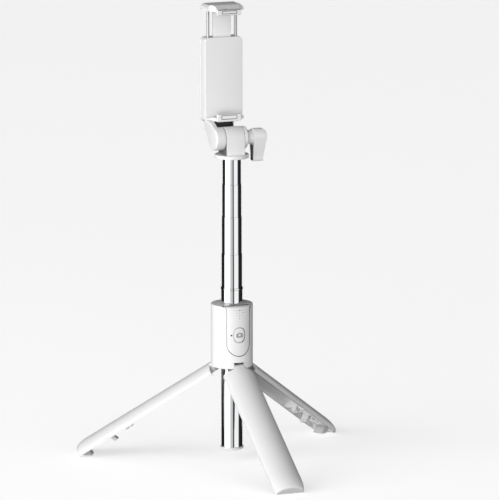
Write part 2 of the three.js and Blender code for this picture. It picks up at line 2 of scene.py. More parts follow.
# # A folding selfie stick with a tripod base, dressed for a studio picture
#
# The stick's working model is already made: every piece, size and joint is in the frame that the
# first cell loads. This lesson gives each visible piece its real surface: rounded edges, thin walls,
# rolled tube ends and moulded grain. Nothing here changes where a piece is or how it moves.
#
# The first cell loads the frame and keeps the box of the whole stick. Blender works in metres; the
# shapes below are written in millimetres, which is how a stick like this is drawn, and are scaled once
# when a mesh is made.

# %% Load the frame
import json
import bmesh
import bpy
import numpy as np
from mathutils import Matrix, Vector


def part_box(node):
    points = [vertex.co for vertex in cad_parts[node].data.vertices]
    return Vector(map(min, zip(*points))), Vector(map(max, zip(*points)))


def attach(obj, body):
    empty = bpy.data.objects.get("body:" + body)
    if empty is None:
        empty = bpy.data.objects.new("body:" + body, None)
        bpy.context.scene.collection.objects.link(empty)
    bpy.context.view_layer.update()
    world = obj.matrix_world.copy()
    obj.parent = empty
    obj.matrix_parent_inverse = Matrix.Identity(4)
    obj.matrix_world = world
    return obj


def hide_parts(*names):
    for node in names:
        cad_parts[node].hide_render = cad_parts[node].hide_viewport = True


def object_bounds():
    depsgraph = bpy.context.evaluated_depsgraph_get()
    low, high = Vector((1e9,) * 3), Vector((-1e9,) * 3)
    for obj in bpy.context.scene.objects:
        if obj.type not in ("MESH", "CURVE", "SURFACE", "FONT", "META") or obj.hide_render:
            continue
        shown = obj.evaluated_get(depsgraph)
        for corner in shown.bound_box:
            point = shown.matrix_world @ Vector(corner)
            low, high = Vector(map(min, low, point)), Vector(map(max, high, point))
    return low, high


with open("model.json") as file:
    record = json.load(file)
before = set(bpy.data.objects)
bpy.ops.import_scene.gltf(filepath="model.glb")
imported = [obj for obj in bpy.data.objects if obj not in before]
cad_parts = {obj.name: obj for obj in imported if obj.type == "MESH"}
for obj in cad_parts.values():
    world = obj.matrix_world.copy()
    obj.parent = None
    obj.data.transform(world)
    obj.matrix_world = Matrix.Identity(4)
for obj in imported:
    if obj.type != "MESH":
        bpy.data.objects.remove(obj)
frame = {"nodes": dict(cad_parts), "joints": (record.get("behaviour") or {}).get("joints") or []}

MM = 0.001
cad_low, cad_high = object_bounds()


def box(node):
    """The lowest and highest corner of a CAD node, in millimetres."""
    low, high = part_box(node)
    return np.array(low) / MM, np.array(high) / MM


def half_width(node):
    """Half of a CAD node's size along X: the radius of an upright round piece."""
    low, high = box(node)
    return (high[0] - low[0]) / 2


def placed(name, data):
    """A new object for a mesh, lamp or camera, in the scene."""
    made = bpy.data.objects.new(name, data)
    bpy.context.scene.collection.objects.link(made)
    return made


joint_places = {joint["name"]: np.array(joint["pos_m"]) / MM for joint in frame["joints"]
                if "pos_m" in joint}
floor_height = cad_low.z / MM
print(f"{len(frame['nodes'])} CAD nodes, {cad_high.z / MM - floor_height:.1f} mm tall")

# %% [markdown]
# ## The camera
#
# A product picture like this one is taken from far away with a long lens, which keeps the sides of
# the tube parallel. The camera stands three metres off, a little to the left of the remote and above
# the clamp, and looks down by eleven degrees. It could be aimed at the stick by a constraint, but a
# camera placed by its distance, height, turn and tilt is easier to read and to change.

# %% Place the camera
camera_turn = np.radians(21.87)           # to the left of straight in front
camera_tilt = np.radians(11.12)           # below level
camera_distance = 3018.0                  # from the stick's axis, measured level
camera_height = 739.0                     # above the floor
camera_side = 12.0                        # how far right of the stick's axis it passes
lens_length = 326.7                       # mm, on the standard 36 mm sensor

ahead = np.array([np.sin(camera_turn), np.cos(camera_turn), 0.0])
rightwards = np.array([np.cos(camera_turn), -np.sin(camera_turn), 0.0])
upwards = np.array([0.0, 0.0, 1.0])

camera = placed("camera", bpy.data.cameras.new("camera"))
camera.location = MM * (
    rightwards * camera_side - ahead * camera_distance + upwards * (floor_height + camera_height))
camera.rotation_euler = (np.pi / 2 - camera_tilt, 0.0, -camera_turn)
camera.data.lens = lens_length
camera.data.clip_start = 0.1
camera.data.clip_end = 100.0
bpy.context.scene.camera = camera
print("camera at", [round(x, 3) for x in camera.location], "m")

# %% [markdown]
# ## Nodes written as sums
#
# A material is a tree of nodes. Wiring each one by hand hides the idea, so one small class wraps a
# socket: adding or multiplying wires writes the Math nodes, and one method makes every other kind of
# node. Settings, such as a ramp's stops, are set before the sockets get their values or links.

# %% A wire that does arithmetic
class Wire:
    """A socket in a node tree; sums and products of wires and numbers become Math nodes."""

    def __init__(self, tree, socket=None):
        self.tree = tree
        self.socket = socket

    def node(self, kind, settings=None, inputs=None, output=0):
        """Adds a node: first its settings, then each socket's value or link. Returns one output."""
        made = self.tree.nodes.new(kind)
        for name, value in (settings or {}).items():
            if name == "stops":
                set_stops(made.color_ramp, value)
            else:
                setattr(made, name, value)
        for name, value in (inputs or {}).items():
            plug(value, made.inputs[name])
        return Wire(self.tree, made.outputs[output] if len(made.outputs) else None)

    def math(self, operation, *values):
        """A Math node on wires or numbers."""
        return self.node("ShaderNodeMath", {"operation": operation}, dict(enumerate(values)))

    def __add__(self, other):
        return self.math("ADD", self, other)

    def __mul__(self, other):
        return self.math("MULTIPLY", self, other)

    def __sub__(self, other):
        return self.math("SUBTRACT", self, other)

    def __rsub__(self, other):
        return self.math("SUBTRACT", other, self)

    __radd__ = __add__
    __rmul__ = __mul__


def plug(value, socket):
    """Links a wire to a socket, or sets the socket to a plain value."""
    if isinstance(value, Wire):
        value.tree.links.new(value.socket, socket)
    else:
        socket.default_value = value


def set_stops(ramp, stops):
    """Gives a colour ramp its stops, each a (place, grey level) pair."""
    while len(ramp.elements) < len(stops):
        ramp.elements.new(1.0)
    for element, (place, level) in zip(ramp.elements, stops):
        element.position = place
        element.color = (level, level, level, 1.0)


print("sockets can be added and multiplied")

# %% [markdown]
# ## Floor and studio light
#
# Chrome shows what is round it, so the light is made as a room and not as a lamp: a large bright
# wall on the left, a dimmer one on the right, a dark slot between them where the camera stands, a
# grey ceiling and darkness behind. The world's colour is worked out from the direction that a ray
# leaves in: its turn from the camera's side gives the wall, and its height gives floor, wall or
# ceiling. The floor is pale and glows a little, which keeps it near white while it still takes soft
# shadows. It is left out of the reflections, as a picture on a white sweep is retouched.

# %% The studio room
def studio_world():
    """Brightness by direction: wall(turn) * band(height) + ceiling(height) + a dim rest."""
    world = bpy.data.worlds.new("studio")
    world.use_nodes = True
    bpy.context.scene.world = world
    tree = world.node_tree
    tree.nodes.clear()
    room = Wire(tree)
    direction = room.node("ShaderNodeTexCoord", output="Generated")

    def along(vector):
        return room.node("ShaderNodeVectorMath", {"operation": "DOT_PRODUCT"},
                         {0: direction, 1: vector}, output="Value")

    turn = room.math("ARCTAN2", along(rightwards), along(-ahead))
    height = along(upwards)
    walls = [(-180, 0.0), (-94, 0.0), (-78, 1.0), (-34, 1.0), (-14, 0.26), (8, 0.26),
             (13, 0.02), (23, 0.02), (29, 0.42), (72, 0.42), (84, 0.0), (180, 0.0)]
    wall = room.node("ShaderNodeValToRGB", {"stops": [((a + 180) / 360, v) for a, v in walls]},
                     {"Fac": turn * (0.5 / np.pi) + 0.5})
    band_edges = [(-0.62, 0.0), (-0.40, 1.0), (0.36, 1.0), (0.74, 0.0)]
    band = room.node("ShaderNodeValToRGB", {"stops": [((h + 1) / 2, v) for h, v in band_edges]},
                     {"Fac": height * 0.5 + 0.5})
    ceiling = room.node("ShaderNodeMapRange", {"interpolation_type": "SMOOTHSTEP"},
                        {"Value": height, "From Min": 0.72, "From Max": 0.86, "To Max": 0.26})
    bright = wall * band * 2.7 + ceiling + 0.02
    seen = room.node("ShaderNodeLightPath", output="Is Camera Ray")
    shown = seen + (1 - seen) * bright
    background = room.node("ShaderNodeBackground", None,
                           {"Color": (1.0, 1.0, 1.0, 1.0), "Strength": shown})
    room.node("ShaderNodeOutputWorld", None, {"Surface": background})


def studio_floor():
    """A wide pale plane that glows a little and shows only to the camera."""
    half = 6.0
    mesh = bpy.data.meshes.new("floor")
    height = floor_height * MM
    corners = [(-half, -half, height), (half, -half, height), (half, half, height),
               (-half, half, height)]
    mesh.from_pydata(corners, [], [(0, 1, 2, 3)])
    floor = placed("floor", mesh)
    material = bpy.data.materials.new("pale_floor")
    material.use_nodes = True
    shader = material.node_tree.nodes["Principled BSDF"]
    shader.inputs["Base Color"].default_value = (0.93, 0.93, 0.93, 1.0)
    shader.inputs["Roughness"].default_value = 0.9
    shader.inputs["Specular IOR Level"].default_value = 0.0
    shader.inputs["Emission Color"].default_value = (1.0, 1.0, 1.0, 1.0)
    shader.inputs["Emission Strength"].default_value = 0.56
    mesh.materials.append(material)
    floor.visible_diffuse = False
    floor.visible_glossy = False
    return floor


studio_world()
studio_floor()
bpy.context.scene.view_settings.view_transform = "Standard"


def soft_lamp(name, place, size, energy):
    """A square lamp aimed at the middle of the stick, left out of the reflections.

    A lamp shines along its own -Z, so it is tipped by the angle whose cosine is the drop over the
    distance and turned to the side of the place it stands in.
    """
    lamp = placed(name, bpy.data.lights.new(name, "AREA"))
    lamp.location = MM * place
    back = MM * (place - upwards * 120)
    lamp.rotation_euler = (np.arccos(back[2] / np.linalg.norm(back)), 0.0,
                           np.arctan2(back[1], back[0]) + np.pi / 2)
    lamp.data.size = size
    lamp.data.energy = energy
    lamp.visible_glossy = False
    return lamp


soft_lamp("soft_box", -rightwards * 1500 - ahead * 900 + upwards * 800, 1.1, 5.6)
soft_lamp("front_fill", -rightwards * 300 - ahead * 1900 + upwards * 60, 0.9, 13.5)
print("floor at", round(floor_height, 2), "mm")

# %% [markdown]
# ## Finishes
#
# The stick is nearly all white moulded plastic. Moulded plastic isn't one flat white: its gloss is
# uneven where the mould was polished by hand, its colour drifts a little over a few centimetres,
# and a very fine grain breaks up the highlights. The same three things at other sizes make nylon,
# rubber and the circuit board, so one function makes them all. All patterns are placed by object
# coordinates, which are the same for every piece because each piece keeps its place in its mesh.
#
# Two darker materials are painted shade. They go on the walls of gaps, pockets and grooves, and their
# colour stands in for the shadow that the soft light here leaves too pale there: that darkness is
# painted and is not the plastic's own colour.

# %% Moulded finishes
def start_material(name, constants):
    """A material with its constant sockets set, its growing wire and its shader."""
    material = bpy.data.materials.new(name)
    material.use_nodes = True
    shader = material.node_tree.nodes["Principled BSDF"]
    for socket, value in constants.items():
        shader.inputs[socket].default_value = value
    return material, Wire(material.node_tree), shader


def grey_to_colour(wire, mask, low, high):
    """A colour that goes from low to high with a mask."""
    return wire.node("ShaderNodeMix", {"data_type": "RGBA"}, {0: mask, 6: low, 7: high}, output=2)


def place_pattern(wire, stretch):
    """Object coordinates, stretched along each axis."""
    start = wire.node("ShaderNodeTexCoord", output="Object")
    return wire.node("ShaderNodeMapping", None, {"Vector": start, "Scale": stretch})


def noise(wire, place, scale, detail=2.0):
    """Smooth noise with a number of bumps per metre."""
    return wire.node("ShaderNodeTexNoise", None,
                     {"Vector": place, "Scale": scale, "Detail": detail}, output="Fac")


def moulded(name, colour, drift, roughness, unevenness, grain_scale, grain_depth, constants):
    """Plastic or rubber: cloudy colour, uneven gloss and a fine grain.

    colour = mix(colour * (1 - drift), colour, clouds)
    roughness = base + unevenness * (patches - 0.5)
    height = grain noise, raised by grain_depth
    """
    material, wire, shader = start_material(name, constants)
    place = place_pattern(wire, (1.0, 1.0, 1.0))
    clouds = noise(wire, place, 38.0)
    patches = noise(wire, place, 210.0, 3.0)
    grain = noise(wire, place, grain_scale, 3.0)
    dark = tuple(c * (1 - drift) for c in colour) + (1.0,)
    plug(grey_to_colour(wire, clouds, dark, colour + (1.0,)), shader.inputs["Base Color"])
    plug(patches * unevenness + (roughness - unevenness / 2), shader.inputs["Roughness"])
    bump = wire.node("ShaderNodeBump", None,
                     {"Strength": 1.0, "Distance": grain_depth, "Height": grain})
    plug(bump, shader.inputs["Normal"])
    return material


white_gloss = moulded("white_gloss", (0.90, 0.90, 0.90), 0.015, 0.38, 0.08, 2600.0, 0.000006,
                      {"Coat Weight": 0.04, "Coat Roughness": 0.3, "IOR": 1.49})
# Near-black painted shade for hollows and the gaps of joints, where the soft light leaves too little
# shadow.
inner_painted_shade = moulded("inner_painted_shade", (0.13, 0.13, 0.13), 0.1, 0.7, 0.1, 1900.0, 0.00002, {})
# Dark grey painted shade for the walls of seams, pockets and grooves.
seam_painted_shade = moulded("seam_painted_shade", (0.32, 0.32, 0.32), 0.05, 0.6, 0.1, 1900.0, 0.00002, {})
white_satin = moulded("white_satin", (0.88, 0.88, 0.875), 0.02, 0.46, 0.10, 1900.0, 0.00002,
                      {"IOR": 1.49})
nylon = moulded("nylon", (0.74, 0.735, 0.71), 0.05, 0.52, 0.12, 1500.0, 0.00003, {})
grey_nylon = moulded("grey_nylon", (0.34, 0.34, 0.34), 0.05, 0.52, 0.12, 1500.0, 0.00003, {})
jaw_rubber = moulded("jaw_rubber", (0.42, 0.42, 0.43), 0.12, 0.78, 0.12, 1300.0, 0.00006, {})
foot_rubber = moulded("foot_rubber", (0.62, 0.62, 0.625), 0.2, 0.82, 0.12, 1200.0, 0.00008, {})
circuit_green = moulded("circuit_green", (0.02, 0.16, 0.06), 0.3, 0.45, 0.1, 900.0, 0.00004, {})
black_plastic = moulded("black_plastic", (0.018, 0.018, 0.02), 0.2, 0.42, 0.1, 1800.0, 0.00003, {})
print(len(bpy.data.materials), "materials so far")

# %% [markdown]
# ## Metals
#
# The telescopic tube is thin steel with bright chrome, drawn through a ring die and polished along
# its length. What is left of that is a trace of fine lines down the tube: they are too fine to see
# but they soften its reflections, so they go into the roughness. Bolts and rods get the same
# finish with more of it, and with a duller base.

# %% Drawn metals
def drawn_metal(name, colour, roughness, unevenness, line_depth, stretch):
    """Metal with lines along one axis: noise squeezed along it gives roughness and height.

    roughness = base + unevenness * lines
    colour = mix(colour * 0.93, colour, smudges)
    """
    material, wire, shader = start_material(name, {"Metallic": 1.0})
    lines = noise(wire, place_pattern(wire, stretch), 900.0, 4.0)
    smudges = noise(wire, place_pattern(wire, (1.0, 1.0, 1.0)), 60.0, 3.0)
    dark = tuple(c * 0.93 for c in colour) + (1.0,)
    plug(grey_to_colour(wire, smudges, dark, colour + (1.0,)), shader.inputs["Base Color"])
    plug(lines * unevenness + roughness, shader.inputs["Roughness"])
    bump = wire.node("ShaderNodeBump", None,
                     {"Strength": 1.0, "Distance": line_depth, "Height": lines})
    plug(bump, shader.inputs["Normal"])
    return material


along_tube = (1.0, 1.0, 0.02)
across_bolt = (0.02, 1.0, 1.0)
chrome = drawn_metal("chrome", (0.80, 0.81, 0.82), 0.03, 0.06, 0.0000006, along_tube)
steel = drawn_metal("steel", (0.55, 0.56, 0.57), 0.22, 0.18, 0.000004, along_tube)
bolt_steel = drawn_metal("bolt_steel", (0.50, 0.51, 0.52), 0.26, 0.2, 0.000006, across_bolt)
brass = drawn_metal("brass", (0.71, 0.55, 0.27), 0.25, 0.2, 0.000006, across_bolt)
print("metals:", [m.name for m in (chrome, steel, bolt_steel, brass)])

# %% [markdown]
# ## Shapes as stacks of rings
#
# Nearly every moulded or turned piece is a stack of closed rings: a lathe turns a profile into
# circles, an extrusion repeats an outline, and a leg is a section that changes along its length.
# So there is one way to make a mesh: an array of rings is skinned with quads and capped at both
# ends. The rest are formulas that give the rings. Rounded edges are part of those formulas, because
# an edge that catches the light is what makes a small moulded piece look real.

# %% Skin over rings
def settle(name, mesh):
    """Merges double points, turns the faces outwards and puts the mesh in the scene."""
    work = bmesh.new()
    work.from_mesh(mesh)
    bmesh.ops.remove_doubles(work, verts=work.verts, dist=1e-7)
    bmesh.ops.dissolve_degenerate(work, edges=work.edges, dist=1e-8)
    bmesh.ops.recalc_face_normals(work, faces=work.faces)
    if work.calc_volume(signed=True) < 0:
        bmesh.ops.reverse_faces(work, faces=work.faces)
    work.to_mesh(mesh)
    work.free()
    return placed(name, mesh)


def skin(name, rings, closed=False):
    """A closed mesh over rings, an array of (rings, points, 3) in millimetres.

    Quad (i, j) joins points j and j + 1 of ring i to the same points of ring i + 1. The two end
    rings get a cap each, unless the stack closes on itself.
    """
    count, points = rings.shape[:2]
    ring = np.arange(count if closed else count - 1)[:, None] * points
    following = (ring + points) % (count * points)
    point = np.arange(points)
    beside = (point + 1) % points
    corners = [ring + point, ring + beside, following + beside, following + point]
    faces = np.stack(corners, axis=-1).reshape(-1, 4).tolist()
    if not closed:
        faces += [list(range(points)), list(range((count - 1) * points, count * points))]
    mesh = bpy.data.meshes.new(name)
    mesh.from_pydata((rings.reshape(-1, 3) * MM).tolist(), [], faces)
    return settle(name, mesh)


# %% Outlines, slabs and turned shapes
def unit(vectors):
    """Vectors scaled to length one."""
    return vectors / np.linalg.norm(vectors, axis=-1, keepdims=True)


def rounded(corners, radii, steps=6):
    """A closed outline whose corners are arcs.

    With sides u and v at a corner and half the angle between them h, the arc's centre is
    radius / sin(h) along the bisector, and its ends are radius / tan(h) along the sides. Its points
    turn evenly from one end to the other.
    """
    corners = np.asarray(corners, float)
    radii = np.broadcast_to(np.asarray(radii, float), len(corners))[:, None]
    u = unit(np.roll(corners, 1, axis=0) - corners)
    v = unit(np.roll(corners, -1, axis=0) - corners)
    half = np.arccos(np.clip((u * v).sum(axis=1, keepdims=True), -1, 1)) / 2
    centre = corners + unit(u + v) * radii / np.sin(half)
    start = corners + u * radii / np.tan(half) - centre
    end = corners + v * radii / np.tan(half) - centre
    span = (np.pi - 2 * half)[:, None]
    share = np.linspace(0, 1, steps + 1)[None, :, None]
    arc = start[:, None] * np.sin((1 - share) * span) + end[:, None] * np.sin(share * span)
    points = (centre[:, None] + arc / np.sin(span)).reshape(-1, 2)
    apart = np.linalg.norm(points - np.roll(points, 1, axis=0), axis=1) > 1e-6
    return points[apart]


def rectangle(across, up, radius, steps=6):
    """A rectangle between two pairs of limits, with rounded corners."""
    corners = [(across[0], up[0]), (across[1], up[0]), (across[1], up[1]), (across[0], up[1])]
    return rounded(corners, radius, steps)


def slab(outline, low, high, edge=0.0, steps=4):
    """Rings of an outline raised from low to high, with both rims rounded.

    At an angle a round the rim, the ring lies edge * (1 - sin a) inside the outline, measured along
    its normals, and edge * (1 - cos a) in from the end.
    """
    turn = np.linspace(0, np.pi / 2, steps + 1) if edge else np.array([np.pi / 2])
    inset = edge * (1 - np.sin(turn))
    rise = edge * (1 - np.cos(turn))
    tangent = np.roll(outline, -1, axis=0) - np.roll(outline, 1, axis=0)
    x, y = outline[:, 0], outline[:, 1]
    area = (x * np.roll(y, -1) - y * np.roll(x, -1)).sum()
    normal = unit(np.stack([tangent[:, 1], -tangent[:, 0]], axis=1)) * np.sign(area)
    insets = np.concatenate([inset, inset[::-1]])[:, None, None]
    heights = np.concatenate([low + rise, (high - rise)[::-1]])
    flat = outline[None] - normal[None] * insets
    tall = np.broadcast_to(heights[:, None, None], flat.shape[:2] + (1,))
    return np.concatenate([flat, tall], axis=2)


def turned(profile, facets=96):
    """Rings of (radius, height) pairs turned about the third axis: (r cos a, r sin a, h)."""
    profile = np.asarray(profile, float)
    angle = np.linspace(0, 2 * np.pi, facets, endpoint=False)
    radius = profile[:, 0:1]
    height = np.broadcast_to(profile[:, 1:2], (len(profile), facets))
    return np.stack([radius * np.cos(angle), radius * np.sin(angle), height], axis=-1)


def laid(rings, axis, place=(0.0, 0.0, 0.0)):
    """Rings whose third axis is laid along x, y or z, then moved to a place."""
    order = {"x": [2, 0, 1], "y": [0, 2, 1], "z": [0, 1, 2]}[axis]
    return rings[..., order] + np.asarray(place, float)


def cylinder(name, radius, low, high, facets=48, axis="z", place=(0.0, 0.0, 0.0)):
    """A plain cylinder with sharp rims, mostly a tool that cuts a bore."""
    return skin(name, laid(turned([(radius, low), (radius, high)], facets), axis, place))


def brick(x, y, z, radius=0.4, edge=0.3):
    """Rings of a box with rounded upright edges and rims."""
    return slab(rectangle(x, y, radius, 4), z[0], z[1], edge, 3)


print("a rounded square has", len(rectangle((-1, 1), (-1, 1), 0.3)), "points")

# %% [markdown]
# ## Joining, cutting and finishing
#
# Where moulded bodies run into each other, as on the clamp, each body is made by its own formula and
# they are joined by a Boolean, as they are joined in the mould. Holes and pockets are cut the same way.
# A narrow bevel on the sharp edges that this leaves is the moulding radius. The last helper gives a
# piece its material and its body in the mechanism, and hides the working model's nodes that it stands
# for.

# %% Join, cut and finish
def combine(base, tools, operation):
    """Joins tools to a base or cuts them out of it, and uses the tools up."""
    for tool in tools:
        step = base.modifiers.new(operation.lower(), "BOOLEAN")
        step.operation = operation
        step.solver = "EXACT"
        step.object = tool
    bpy.context.view_layer.update()
    shown = base.evaluated_get(bpy.context.evaluated_depsgraph_get())
    made = bpy.data.meshes.new_from_object(shown)
    base.modifiers.clear()
    base.data = made
    for tool in tools:
        bpy.data.objects.remove(tool)
    return base


def join(base, *tools):
    """One body from several that overlap."""
    return combine(base, tools, "UNION")


def cut(base, *tools):
    """A body less what the tools take out."""
    return combine(base, tools, "DIFFERENCE")


def common(base, *tools):
    """What a base shares with its tools."""
    return combine(base, tools, "INTERSECT")


def shade_within(piece, material, chosen):
    """Gives the faces whose middles and normals pass a test a second, darker material, which paints
    shade on them.

    The test gets the middles in millimetres and the normals, each an array of (faces, 3).
    """
    mesh = piece.data
    middles = np.empty(len(mesh.polygons) * 3)
    normals = np.empty(len(mesh.polygons) * 3)
    mesh.polygons.foreach_get("center", middles)
    mesh.polygons.foreach_get("normal", normals)
    index = np.empty(len(mesh.polygons), np.int32)
    mesh.polygons.foreach_get("material_index", index)
    mesh.materials.append(material)
    inside = chosen(middles.reshape(-1, 3) / MM, normals.reshape(-1, 3))
    index[inside] = len(mesh.materials) - 1
    mesh.polygons.foreach_set("material_index", index)
    mesh.update()
    print(f"{piece.name}: {int(inside.sum())} faces in {material.name}")
    return piece


def complete(piece, body, material, nodes, edge=0.0, smooth_angle=34.0):
    """Edges, shading, material and body of a finished piece; the nodes it stands for are hidden."""
    if edge:
        bevel = piece.modifiers.new("moulding_radius", "BEVEL")
        bevel.width = edge * MM
        bevel.segments = 2
        bevel.limit_method = "ANGLE"
        bevel.angle_limit = np.radians(38.0)
        bevel.use_clamp_overlap = True
        bevel.harden_normals = False
    piece.data.materials.clear()
    piece.data.materials.append(material)
    piece.data.shade_smooth()
    piece.data.set_sharp_from_angle(angle=np.radians(smooth_angle))
    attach(piece, body)
    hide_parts(*nodes)
    print(f"{piece.name}: {len(piece.data.polygons)} faces on {body}")
    return piece


# %% [markdown]
# ## The telescopic tube
#
# Five thin chromed tubes slide in each other. Each is drawn from sheet 0.2 mm thick, and its upper end
# is rolled inwards so that the next one can't be pulled out. A closed profile turned about the stick's
# axis gives the wall, both ends and the rolled lip at once. The radius and the ends of each tube are
# read from the frame, and its body is given by name.

# %% Chromed tubes
tube_wall = 0.19
lip_roll = 0.22                           # how far the lip turns in
lip_length = 1.1


def drawn_tube(node, body):
    """A tube wall whose outer side rolls inwards over the last stretch below its top."""
    low, high = box(node)
    outer = half_width(node)
    bottom, top = low[2], high[2]
    inner = outer - tube_wall
    roll = np.linspace(0, np.pi / 2, 7)
    lip_radius = outer - lip_roll * (1 - np.cos(roll))
    lip_height = top - lip_length * (1 - np.sin(roll))
    outside = np.stack([lip_radius, lip_height], axis=1)
    profile = np.concatenate([[(inner, bottom), (outer, bottom)], outside,
                              [(inner - 0.02, top), (inner - 0.02, top - 0.3),
                               (inner, top - lip_length)]])
    piece = skin(f"chromed_{node}", turned(profile, 144), closed=True)
    return complete(piece, body, chrome, [node], smooth_angle=50.0)


drawn_tube("outer_tube", "hub")
for number in range(1, 5):
    drawn_tube(f"tube_section_{number}", f"section_{number}")

# %% Collar and end cap
def ring_between(node, name, body, material, wall, rim):
    """A ring that fills a node's box, with rounded rims."""
    low, high = box(node)
    outer = half_width(node)
    profile = rectangle((outer - wall, outer), (low[2], high[2]), rim, 5)
    piece = skin(name, turned(profile, 144), closed=True)
    return complete(piece, body, material, [node])


collar_wall = 0.22
ring_between("tube_collar", "rolled_collar", "hub", chrome, collar_wall, 0.1)


def end_cap():
    """A plug in the tube's lower end with a rounded flange under it."""
    low, high = box("tube_end_cap")
    flange = half_width("tube_end_cap")
    plug_radius = flange - 1.15
    bottom, top = low[2], high[2]
    flange_top = bottom + 1.4
    bend = np.linspace(0, np.pi / 2, 7)
    lower = np.stack([flange - 0.7 + 0.7 * np.sin(bend), bottom + 0.7 * (1 - np.cos(bend))], 1)
    upper = np.stack([flange - 0.25 * (1 - np.cos(bend)), flange_top - 0.25 * (1 - np.sin(bend))], 1)
    rest = [(plug_radius, flange_top), (plug_radius, top), (plug_radius - 1.2, top),
            (plug_radius - 1.2, bottom + 2.1)]
    profile = np.concatenate([lower, upper, rest])
    piece = skin("foot_plug", turned(profile, 120))
    return complete(piece, "hub", white_gloss, ["tube_end_cap"])


end_cap()

# %% [markdown]
# ## The hub
#
# The hub is a smooth white barrel. Its front holds the remote in a pocket shaped like a tongue with
# a flared top, the tube runs through its middle, and three notches in its lower edge let the legs'
# tongues through. The barrel is a closed profile turned about the axis; the pocket's outline is one
# formula, used again for the remote itself, so that the seam between them is even all round.

# %% Outline of the remote
hub_low, hub_high = box("hub_shell")
hub_radius = half_width("hub_shell")
hub_bottom, hub_top = hub_low[2], hub_high[2]
hub_wall = 1.8
remote_low, _ = box("remote_front")
remote_half = 8.2
remote_bottom = remote_low[2] - 0.05
remote_flare = 3.0
round_height = remote_bottom + remote_half        # centre of the half-round lower end
flare_height = hub_top - remote_flare
tube_radius = half_width("outer_tube")


def remote_width(height, inset):
    """Half the remote's width at a height: a half circle, then straight, then an outward flare.

    The half circle has radius remote_half - inset. The flare is a circle of radius
    remote_flare + inset whose centre is outside the remote.
    """
    half = remote_half - inset
    below = np.clip(round_height - height, 0, half)
    above = np.clip(height - flare_height, 0, remote_flare + inset)
    straight = np.sqrt(half**2 - below**2)
    flare = remote_half + remote_flare - np.sqrt((remote_flare + inset)**2 - above**2)
    return np.where(above > 0, flare, straight)


def remote_heights(inset, top, bend_rows=18, straight_rows=10):
    """Heights from the remote's bottom to its top, close together where its outline bends."""
    half = remote_half - inset
    bend = np.linspace(0, np.pi / 2, bend_rows)
    lower = round_height - half * np.cos(bend)
    middle = np.linspace(round_height, flare_height, straight_rows)[1:-1]
    upper = flare_height + (top - flare_height) * np.sin(bend)
    return np.concatenate([lower, middle, upper])


def remote_outline(inset, top):
    """The remote's outline as a closed run of (x, z) points."""
    height = remote_heights(inset, top)
    width = remote_width(height, inset)
    right = np.stack([width, height], axis=1)
    left = np.stack([-width, height], axis=1)[::-1]
    return np.concatenate([right, left[:-1]])


print("the remote is", round(2 * remote_half, 1), "mm wide")

# %% Hub casing
leg_sides = {"front": "leg_front", "right": "leg_right", "left": "leg_left"}
pivots = {side: joint_places[f"{body}_fold"] for side, body in leg_sides.items()}
pivot_height = pivots["front"][2]
pivot_radius = np.hypot(*pivots["front"][:2])
leg_turns = {side: np.arctan2(place[1], place[0]) for side, place in pivots.items()}
leg_slope = np.radians(33.0)              # below level, when open
back_line = hub_radius - pivot_radius     # from the hinge pin up to the leg's back
tongue_half = 3.5
clearance = 0.3
pocket_floor = 8.5
notch_rise = 1.1                          # free height above a tongue


def turned_about(rings, angle):
    """Rings turned about the stick's axis: x cos a - y sin a, x sin a + y cos a."""
    cosine, sine = np.cos(angle), np.sin(angle)
    x, y, z = rings[..., 0], rings[..., 1], rings[..., 2]
    return np.stack([x * cosine - y * sine, x * sine + y * cosine, z], axis=-1)


def hub_casing():
    """Barrel, pocket wall, pocket, bore and three notches."""
    bore = tube_radius + 0.1
    inner = hub_radius - hub_wall
    profile = rounded([(bore, hub_top), (hub_radius, hub_top), (hub_radius, hub_bottom),
                       (inner, hub_bottom), (inner, hub_top - 2.0), (bore, hub_top - 2.0)],
                      [0.15, 0.35, 0.5, 0.4, 0.3, 0.1])
    casing = skin("hub_casing", turned(profile, 180), closed=True)
    pocket_wall = skin("pocket_wall", laid(slab(
        rectangle((-remote_half - 1.2, remote_half + 1.2),
                  (remote_bottom - 1.2, hub_top - 1.0), 4.0), -20.0, -pocket_floor + 0.7), "y"))
    within = cylinder("within", hub_radius - 0.5, hub_bottom, hub_top, 96)
    pocket_wall = common(pocket_wall, within)
    pocket = skin("pocket", laid(slab(remote_outline(-0.28, hub_top + 0.6), -20, -pocket_floor), "y"))
    hole = cylinder("hole", bore, hub_bottom - 2, hub_top + 2, 144)
    notch_top = pivot_height + back_line * np.cos(leg_slope) + notch_rise
    notch = brick((inner - 1, hub_radius + 1), (-tongue_half - clearance, tongue_half + clearance),
                  (hub_bottom - 3, notch_top), 0.3, 0.25)
    notches = [skin("notch", turned_about(notch, angle)) for angle in leg_turns.values()]
    return cut(join(casing, pocket_wall), pocket, hole, *notches)


def in_pocket(middles, normals):
    """Faces well inside the barrel's surface, in front of the tube: the pocket's walls."""
    depth = np.hypot(middles[:, 0], middles[:, 1])
    return (depth < hub_radius - 0.3) & (middles[:, 1] < -8.0) & (middles[:, 2] > remote_bottom - 0.5)


shell = complete(hub_casing(), "hub", white_gloss, ["hub_shell"], edge=0.16)
# The pocket's walls get painted shade: dark grey colour where the gap round the remote would be in
# shadow.
shade_within(shell, seam_painted_shade, in_pocket)

# %% [markdown]
# ## The remote
#
# The remote is a small shell that snaps into the pocket. Its face continues the barrel, so each
# point's depth is worked out from the barrel's circle. Two roundings are taken off it: the shell
# falls away in a quarter circle along its outline, which makes the fine shadow line of the seam, and
# its top edge rolls back towards the tube. Rows are heights and columns are shares of the width, so
# the mesh follows the outline exactly.

# %% Face of the remote
seam_round = 0.35
top_round = 2.3
remote_joint = 9.4                        # depth of the plane between its two halves


